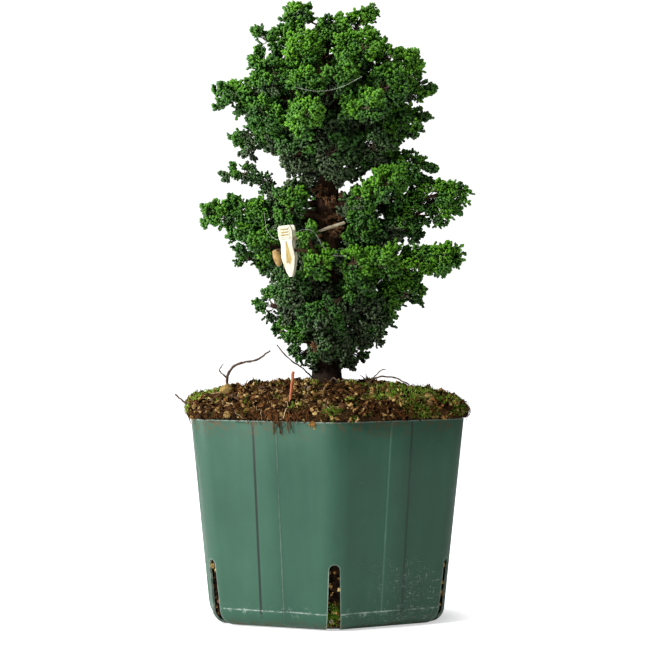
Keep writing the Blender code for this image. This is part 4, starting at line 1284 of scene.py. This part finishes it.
def limb_path(spray, draw):
    """The branch from the trunk's middle through the spray's pads."""
    height, _, pads = SPRAYS[spray]
    start, trunk_radius = along_line(TRUNK_LINE, height)
    thick = min(0.4 * trunk_radius, 2.3)
    rows = [(*start, thick)]
    first = Vector(pads[0][:3])
    sag = start.lerp(first, 0.5) - Vector((0, 0, 0.06 * (first - start).length))
    rows.append((*sag, thick * 0.8))
    for number, pad in enumerate(pads):
        rows.append((*pad[:3], max(0.55, thick * (0.55 - 0.15 * number))))
    return wobbly(rows, 5, draw, 0.5)


class HINOKI_OT_trunk(bpy.types.Operator):
    """Trunk with stringy bark, its branches and the bare twig that the clip holds"""

    bl_idname = "hinoki.trunk"
    bl_label = "Trunk and branches"

    def execute(self, context):
        bark = bark_finish("hinoki_bark", *(srgb(*tone) for tone in BARK_TONES))
        points = []
        for z in [BARK_FOOT + BARK_STEP * i for i in range(BARK_RINGS)]:
            centre, radius = along_line(TRUNK_LINE, z)
            flare = 1 + 0.32 * math.exp(-max(0.0, z - 124) / 5)
            for k in range(BARK_SIDES):
                out = heading(math.tau * k / BARK_SIDES)
                lumps = noise.noise(centre * 0.05 + out * 1.6)
                strips = noise.noise(Vector((out.x * 3.2, out.y * 3.2, z * 0.035)))
                reach = radius * (flare + 0.12 * lumps) + 0.55 * strips
                points.append((centre.x + out.x * reach, centre.y + out.y * reach, z))
        faces = lofted_faces(BARK_RINGS, BARK_SIDES)
        trunk = closed_object("trunk_bark", points, faces, material=bark)
        draw = random.Random(4)
        paths = [limb_path(spray, draw) for spray in SPRAYS]
        paths.append(wobbly(TWIG_LINE, 5, draw, 0.25))
        limbs = path_tree().grow(path_mesh("limbs", paths), "limbs", {"Sides": 8, "Bark": bark})
        settled(joined("trunk_bark", [trunk, limbs]), "bark", "trunk")
        return {"FINISHED"}


# Foliage


def fan_shape(number, draw):
    """A flat branchlet, one unit long: blunt knobs in pairs along a midrib and one at its end."""
    knobs = [(0.56, 0.0, 0.44)]
    for start, angle, length in FAN_KNOBS:
        for side in (-1, 1):
            turn = side * (angle + draw.uniform(-9, 9))
            knobs.append((start, turn, length * draw.uniform(0.76, 1.18)))
    points, faces, tips = [], [], []
    for start, angle, length in knobs:
        turn, width = math.radians(angle), draw.uniform(0.27, 0.4)
        way = heading(turn)
        across = beside(way) * width / 2
        root = Vector((start + draw.uniform(-0.04, 0.04), 0, 0))
        cup = Vector((0, 0, 0.14 * abs(math.sin(turn)) + draw.uniform(-0.09, 0.11)))
        thick = Vector((0, 0, 0.2))
        widest = root + way * (length * 0.7) + cup * 0.7 - thick / 3
        first = len(points)
        points += [root, widest + across, widest + thick, widest - across,
                   root + way * length + cup]
        for k in range(3):
            a, b = first + 1 + k, first + 1 + (k + 1) % 3
            faces += [(first, b, a), (a, b, first + 4)]
        tips += [0.0, 0.45, 0.6, 0.45, 1.0]
    return closed_object(f"fan_{number}", [p / MM for p in points], faces, tip=tips)


def turned(way, normal):
    """Euler angles that lay a fan's length along way and its face square to normal."""
    x = way.normalized()
    z = (normal - x * normal.dot(x)).normalized()
    y = z.cross(x)
    return Matrix((x, y, z)).transposed().to_euler()


class Spray:
    """The points and edges of one spray: fans on points, twigs along edges."""

    def __init__(self, name, choice, scale=1.0):
        self.name, self.choice = name, choice
        self.scale = self.base_scale = scale
        self.draw = random.Random("hinoki " + name)
        self.points, self.edges, self.thick = [], [], []
        self.turn, self.size, self.shape, self.fresh = [], [], [], []

    def point(self, place, thick, turn=(0, 0, 0), size=0.0, fresh=0.0):
        self.points.append(tuple(place))
        self.thick.append(thick * MM)
        self.turn.append(tuple(turn))
        self.size.append(size)
        self.shape.append(self.draw.randrange(FAN_SHAPES))
        self.fresh.append(fresh)
        return len(self.points) - 1

    def jitter(self, amount):
        draw = self.draw
        return Vector([draw.uniform(-amount, amount) for _ in range(3)])

    def fan(self, place, way, face, size, fresh):
        """One fan, drawn back if its end would stand outside the model's box."""
        low, high = (Vector(corner) / MM for corner in CAD_BOX)
        end = place + way.normalized() * (self.choice.fan_length / MM * size * 1.05)
        for axis in range(3):
            over = max(0.0, end[axis] - high[axis] + 1.2) + min(0.0, end[axis] - low[axis] - 1.2)
            place[axis] -= over
        self.point(place, 0.0, turned(way, face), size, fresh)

    def sprig(self, start, end, way, rows, fresh):
        """A twig to end, with fans in rows of (share of its length, lean from way, count)."""
        draw = self.draw
        stem = [start, start.lerp(end, 0.55) + self.jitter(0.1 * (end - start).length), end]
        marks = [self.point(place, 0.36 - 0.1 * i) for i, place in enumerate(stem)]
        self.edges += [(marks[0], marks[1]), (marks[1], marks[2])]
        side = way.orthogonal().normalized()
        other = way.cross(side)
        spin = draw.uniform(0, math.tau)
        for share, lean, count in rows:
            place = stem[1].lerp(stem[2], share * 2 - 1)
            for _ in range(count):
                spin += (math.tau / count if count > 1 else math.pi) * draw.uniform(0.8, 1.2)
                angle = math.radians(lean + draw.uniform(-16, 16))
                out = side * math.cos(spin) + other * math.sin(spin)
                lengthwise = way * math.cos(angle) + out * math.sin(angle)
                face = way * math.sin(angle) - out * math.cos(angle) + self.jitter(0.7)
                # Fans nearer the sprig's end are fresher; fans that point up get painted light as
                # extra freshness.
                glow = fresh + 0.35 * (share - 0.85) + 0.12 * lengthwise.z
                glow += draw.uniform(-0.16, 0.16)
                size = self.scale * draw.uniform(0.66, 1.28)
                self.fan(place + self.jitter(0.5), lengthwise, face, size, glow)

    def pad(self, middle, radius, outward_way, fresh):
        """Rounded heads of fans set unevenly through a pad, and a few loose shoots out of it."""
        draw = self.draw
        wanted = max(3, round(self.choice.crowding * radius**2))
        self.scale = self.base_scale * min(1.0, 0.5 + radius / 14)
        fork = middle - outward_way * (0.35 * radius)
        made, tries = [], 0
        while len(made) < wanted and tries < 600:
            tries += 1
            v = self.jitter(1.0) + outward_way * 0.15
            if not 0.25 < v.length < 1.0:
                continue
            v = v.normalized() * (0.3 + 0.42 * v.length)
            if any((v - other).length < (1.25 - 0.001 * tries) / wanted**0.4 for other in made):
                continue
            made.append(v)
            way = (v.normalized() + outward_way * 0.3 + Vector((0, 0, 0.25)) + self.jitter(0.45))
            way.normalize()
            # Heads deep in the pad get painted shade and heads that lean up get painted light, both
            # as a change in freshness.
            lit = fresh + 0.9 * (v.length - 0.55) + 0.16 * way.z + draw.uniform(-0.2, 0.2)
            self.sprig(fork, middle + v * radius, way, HEAD_ROWS, lit)
        for _ in range(self.choice.shoots if radius > 5 else 1):
            way = (outward_way + self.jitter(0.8) + Vector((0, 0, 0.35))).normalized()
            end = middle + way * (radius * draw.uniform(0.8, 1.0))
            self.sprig(middle, end, way, SHOOT_ROWS, fresh + 0.12)

    def build(self, tree, fans, leaf, twig):
        height, fresh, pads = SPRAYS[self.name]
        before = along_line(TRUNK_LINE, height)[0]
        for middle, radius in FILLERS.get(self.name, ()):
            self.pad(Vector(middle), radius, Vector((0, -0.5, 0)), -0.12)
        for pad in pads:
            middle = Vector(pad[:3])
            radius = pad[3] * self.choice.pad_growth
            self.pad(middle, radius, (middle - before).normalized(), fresh)
            before = middle
        self.grow(tree, fans, leaf, twig, "spray_" + self.name)

    def grow(self, tree, fans, leaf, twig, *nodes):
        base = mesh_object("base", self.points, edges=self.edges, thick=self.thick, turn=self.turn,
                           size=self.size, shape=self.shape, fresh=self.fresh)
        made = tree.grow(base, "leaves_" + self.name, {
            "Fan length": self.choice.fan_length, "Shapes": fans, "Leaf": leaf, "Twig": twig})
        settled(made, "foliage", *nodes)


class HINOKI_OT_foliage(bpy.types.Operator):
    """Sprays of flat branchlets with blunt scale-leaf lobes, fresh at their tips"""

    bl_idname = "hinoki.foliage"
    bl_label = "Foliage"

    def execute(self, context):
        choice = context.scene.hinoki_foliage
        leaf = leaf_finish(choice)
        twig = plain_finish("hinoki_twig")
        draw = random.Random(8)
        fans = shapes_collection("fans", [fan_shape(i, draw) for i in range(FAN_SHAPES)])
        tree = spray_tree()
        for name in SPRAYS:
            Spray(name, choice).build(tree, fans, leaf, twig)
        dry = plain_finish("dry_leaf")
        dead = Spray("dry_foliage", choice, 0.55)
        for middle, radius in DRY_TUFTS:
            dead.pad(Vector(middle), radius, Vector((0, -0.6, -0.2)), 0.0)
        dead.grow(tree, fans, dry, twig)
        drop_collection(fans)
        return {"FINISHED"}


# Clip, splint and litter


class HINOKI_OT_clip(bpy.types.Operator):
    """Moulded clip on a bare twig, with ribs on its grip"""

    bl_idname = "hinoki.clip"
    bl_label = "Clip"

    def execute(self, context):
        plastic = plain_finish("clip_plastic")
        stain = plain_finish("clip_stain")
        parts = [self.arm(-1), self.arm(1), self.block((4.2, 5.8, 2.2), (0, 0, 3.2))]
        face = -CLIP_SPACING / 2 - CLIP_ARM / 2
        parts += [self.block((5.4, 0.9, 0.9), (0, face - 0.1, z)) for z in CLIP_BARS]
        parts += [self.block((5.4, 0.7, 0.75), (0, face - 0.1, z)) for z in CLIP_RIBS]
        for part in parts[3:]:
            part.data.transform(Matrix.Rotation(CLIP_OPENING, 4, "X"))
        for part in parts:
            bevel = part.modifiers.new("soft edges", "BEVEL")
            bevel.width = 0.28 * MM
            bevel.segments = 3
            apply_modifiers(part)
            part.data.materials.append(plastic)
        gaps = [[(-2.2, z - 0.3), (2.2, z - 0.3), (2.2, z + 0.3), (-2.2, z + 0.3)]
                for z in CLIP_GAPS]
        for shape in (CLIP_HOLLOW, *gaps):
            points = [(x, face - y, z) for y in (0.07, -0.3) for x, z in shape]
            made = closed_object("clip_hollow", points, lofted_faces(2, len(shape)),
                                 smooth=False, material=stain)
            made.data.transform(Matrix.Rotation(CLIP_OPENING, 4, "X"))
            parts.append(made)
        clip = joined("clip_moulded", parts)
        clip.data.transform(Matrix.Translation(CLIP_MIDDLE * MM)
                            @ Matrix.Rotation(CLIP_TILT, 4, "Y")
                            @ Matrix.Rotation(CLIP_TURN, 4, "Z"))
        clip.data.shade_smooth()
        clip.data.set_sharp_from_angle(angle=math.radians(50))
        settled(clip, "clip_plastic", "plant_clip")
        self.flake()
        return {"FINISHED"}

    def flake(self):
        """A curled tan flake caught behind the clip."""
        dry = plain_finish("dry_flake")
        points, count = [], 6
        for layer in (0.0, 0.45):
            for row in range(count):
                for column in range(4):
                    u, v = row / (count - 1), column / 3 - 0.5
                    wide = 4.4 * (0.35 + 0.65 * math.sin(math.pi * (0.15 + 0.75 * u)))
                    curl = 5 * v * v + layer + 0.5 * math.sin(9 * u)
                    points.append(FLAKE_TOP + Vector((2.4 * u + wide * v, curl, 1.2 * v - 8.5 * u)))
        faces, half = [], count * 4
        for row in range(count - 1):
            for column in range(3):
                a = row * 4 + column
                quad = (a, a + 1, a + 5, a + 4)
                faces += [quad, tuple(half + k for k in reversed(quad))]
        rim = [*range(4)] + [r * 4 + 3 for r in range(1, count)]
        rim += [(count - 1) * 4 + c for c in (2, 1, 0)] + [r * 4 for r in range(count - 2, 0, -1)]
        for a, b in zip(rim, rim[1:] + rim[:1]):
            faces.append((b, a, half + a, half + b))
        settled(closed_object("dry_flake", points, faces, material=dry), "dead_wood")

    def arm(self, side):
        """A flat arm, leaning so that the jaws close."""
        outer = [(w, h) for h, w in CLIP_OUTLINE] + [(-w, h) for h, w in reversed(CLIP_OUTLINE)]
        y = side * CLIP_SPACING / 2
        points = [(x, y + face * CLIP_ARM / 2, z) for face in (-1, 1) for x, z in outer]
        made = closed_object("clip_arm", points, lofted_faces(2, len(outer)), smooth=False)
        made.data.transform(Matrix.Rotation(-side * CLIP_OPENING, 4, "X"))
        return made

    def block(self, size, middle):
        x, y, z = (c / 2 for c in size)
        points = [(middle[0] + a * x, middle[1] + b * y, middle[2] + c * z)
                  for c in (-1, 1) for a, b in ((-1, -1), (1, -1), (1, 1), (-1, 1))]
        return closed_object("clip_block", points, lofted_faces(2, 4), smooth=False)


class HINOKI_OT_litter(bpy.types.Operator):
    """Dead twigs, a red stalk and a bleached splint"""

    bl_idname = "hinoki.litter"
    bl_label = "Litter"

    def execute(self, context):
        dead, red = plain_finish("dead_wood"), plain_finish("red_stalk")
        pale, silk = plain_finish("bleached_splint"), plain_finish("pale_thread")
        own = {"seedling_stalk": (red, "red_stalk"), "splint": (pale, "bamboo")}
        tree = path_tree()
        draw = random.Random(3)

        def tubes(name, paths, sides, material, slot, *nodes):
            grown = tree.grow(path_mesh("lines", paths), name, {"Sides": sides, "Bark": material})
            settled(grown, slot, *nodes)

        for name, rows in (*LITTER.items(), ("splint", SPLINT_LINE)):
            bend = 0.0 if name == "splint" else 0.22
            material, slot = own.get(name, (dead, "dead_wood"))
            tubes(name + "_grown", [wobbly(rows, 6, draw, bend)], 8, material, slot, name)
        threads = [wobbly([(*row, 0.1) for row in rows], 8, draw, 0.04) for rows in THREADS]
        tubes("pale_threads", threads, 4, silk, "dead_wood")
        sticks = [wobbly(rows, 6, draw, 0.2) for rows in STICKS]
        tubes("small_sticks", sticks, 6, dead, "dead_wood")
        return {"FINISHED"}


# Studio


class HINOKI_OT_stage(bpy.types.Operator):
    """Pale floor, soft lights and the camera"""

    bl_idname = "hinoki.stage"
    bl_label = "Studio"

    def execute(self, context):
        choice = context.scene.hinoki_stage
        corners = [(x * FLOOR_REACH, y * FLOOR_REACH, FLOOR_DROP)
                   for x, y in ((-1, -1), (1, -1), (1, 1), (-1, 1))]
        floor = mesh_object("studio_floor", corners, [(0, 1, 2, 3)],
                            material=self.floor_finish(choice))
        for name, (place, size) in LIGHTS.items():
            self.light(name + "_light", place, size, getattr(choice, name + "_power"))
        self.world(context.scene)
        self.camera(context.scene)
        context.scene.view_settings.view_transform = "Standard"
        return {"FINISHED"}

    def camera(self, scene):
        """A long lens at the front, level with the middle of the tree."""
        camera = bpy.data.cameras.new("camera")
        camera.sensor_width = 36.0
        camera.lens = CAMERA_LENS
        camera.clip_start = 0.05
        camera.clip_end = 100.0
        holder = link_object("camera", camera)
        holder.location = CAMERA_PLACE
        holder.rotation_euler = (math.pi / 2 - CAMERA_DIP, 0, 0)
        scene.camera = holder

    def floor_finish(self, choice):
        """White that glows like a lit backdrop further off; near the pot its glow drops, so the
        real soft shadow shows there, deepened as a painted contact shadow.
        """
        look = Finish("studio_floor", 0.9)
        look.colour(tuple(choice.floor))
        away = look.length(look.place)
        seen = look.add("ShaderNodeLightPath").outputs["Is Camera Ray"]
        # Painted contact shadow: the glow is lower close to the pot.
        glow = look.times(look.band(away, *FLOOR_SHADOW_AND_GLOW, 0.55, 1.1),
                          look.band(seen, 0.0, 1.0, 0.22, 1.0))
        look.drive(Emission_Color=WHITE, Emission_Strength=glow)
        return look.material

    def light(self, name, place, size, power):
        lamp = bpy.data.lights.new(name, "AREA")
        lamp.shape = "DISK"
        lamp.size = size
        lamp.energy = power
        holder = link_object(name, lamp)
        holder.location = place
        aim = LIGHTS_AIM - Vector(place)
        holder.rotation_euler = aim.to_track_quat("-Z", "Y").to_euler()

    def world(self, scene):
        """White where the camera looks past the floor, and a gentler fill on the plant."""
        world = bpy.data.worlds.new("studio")
        world.use_nodes = True
        tree = world.node_tree
        back = tree.nodes["Background"]
        seen = add_node(tree, "ShaderNodeLightPath", (), {}).outputs["Is Camera Ray"]
        inputs = {0: seen, 3: WORLD_FILL, 4: WORLD_GLOW}
        fill = add_node(tree, "ShaderNodeMapRange", inputs, {})
        feed(tree, back.inputs["Strength"], fill.outputs[0])
        feed(tree, back.inputs["Color"], WHITE)
        scene.world = world


STEPS = (
    HINOKI_OT_stage,
    HINOKI_OT_pot,
    HINOKI_OT_root_ball,
    HINOKI_OT_trunk,
    HINOKI_OT_foliage,
    HINOKI_OT_clip,
    HINOKI_OT_litter,
)


class HINOKI_PT_panel(bpy.types.Panel):
    """Sizes, colours and build steps"""

    bl_label = "Potted hinoki"
    bl_idname = "HINOKI_PT_panel"
    bl_space_type = "VIEW_3D"
    bl_region_type = "UI"
    bl_category = "Hinoki"

    def draw(self, context):
        for step in STEPS:
            self.layout.operator(step.bl_idname)
        for key, group in GROUPS.items():
            box = self.layout.box()
            for name in group.__annotations__:
                box.prop(getattr(context.scene, key), name)


CLASSES = (*GROUPS.values(), *STEPS, HINOKI_PT_panel)


def register():
    for item in CLASSES:
        bpy.utils.register_class(item)
    for key, group in GROUPS.items():
        setattr(bpy.types.Scene, key, bpy.props.PointerProperty(type=group))


def unregister():
    for key in GROUPS:
        delattr(bpy.types.Scene, key)
    for item in reversed(CLASSES):
        bpy.utils.unregister_class(item)


def main():
    register()
    for step in STEPS:
        family, name = step.bl_idname.split(".")
        getattr(getattr(bpy.ops, family), name)()


if __name__ == "__main__":
    main()
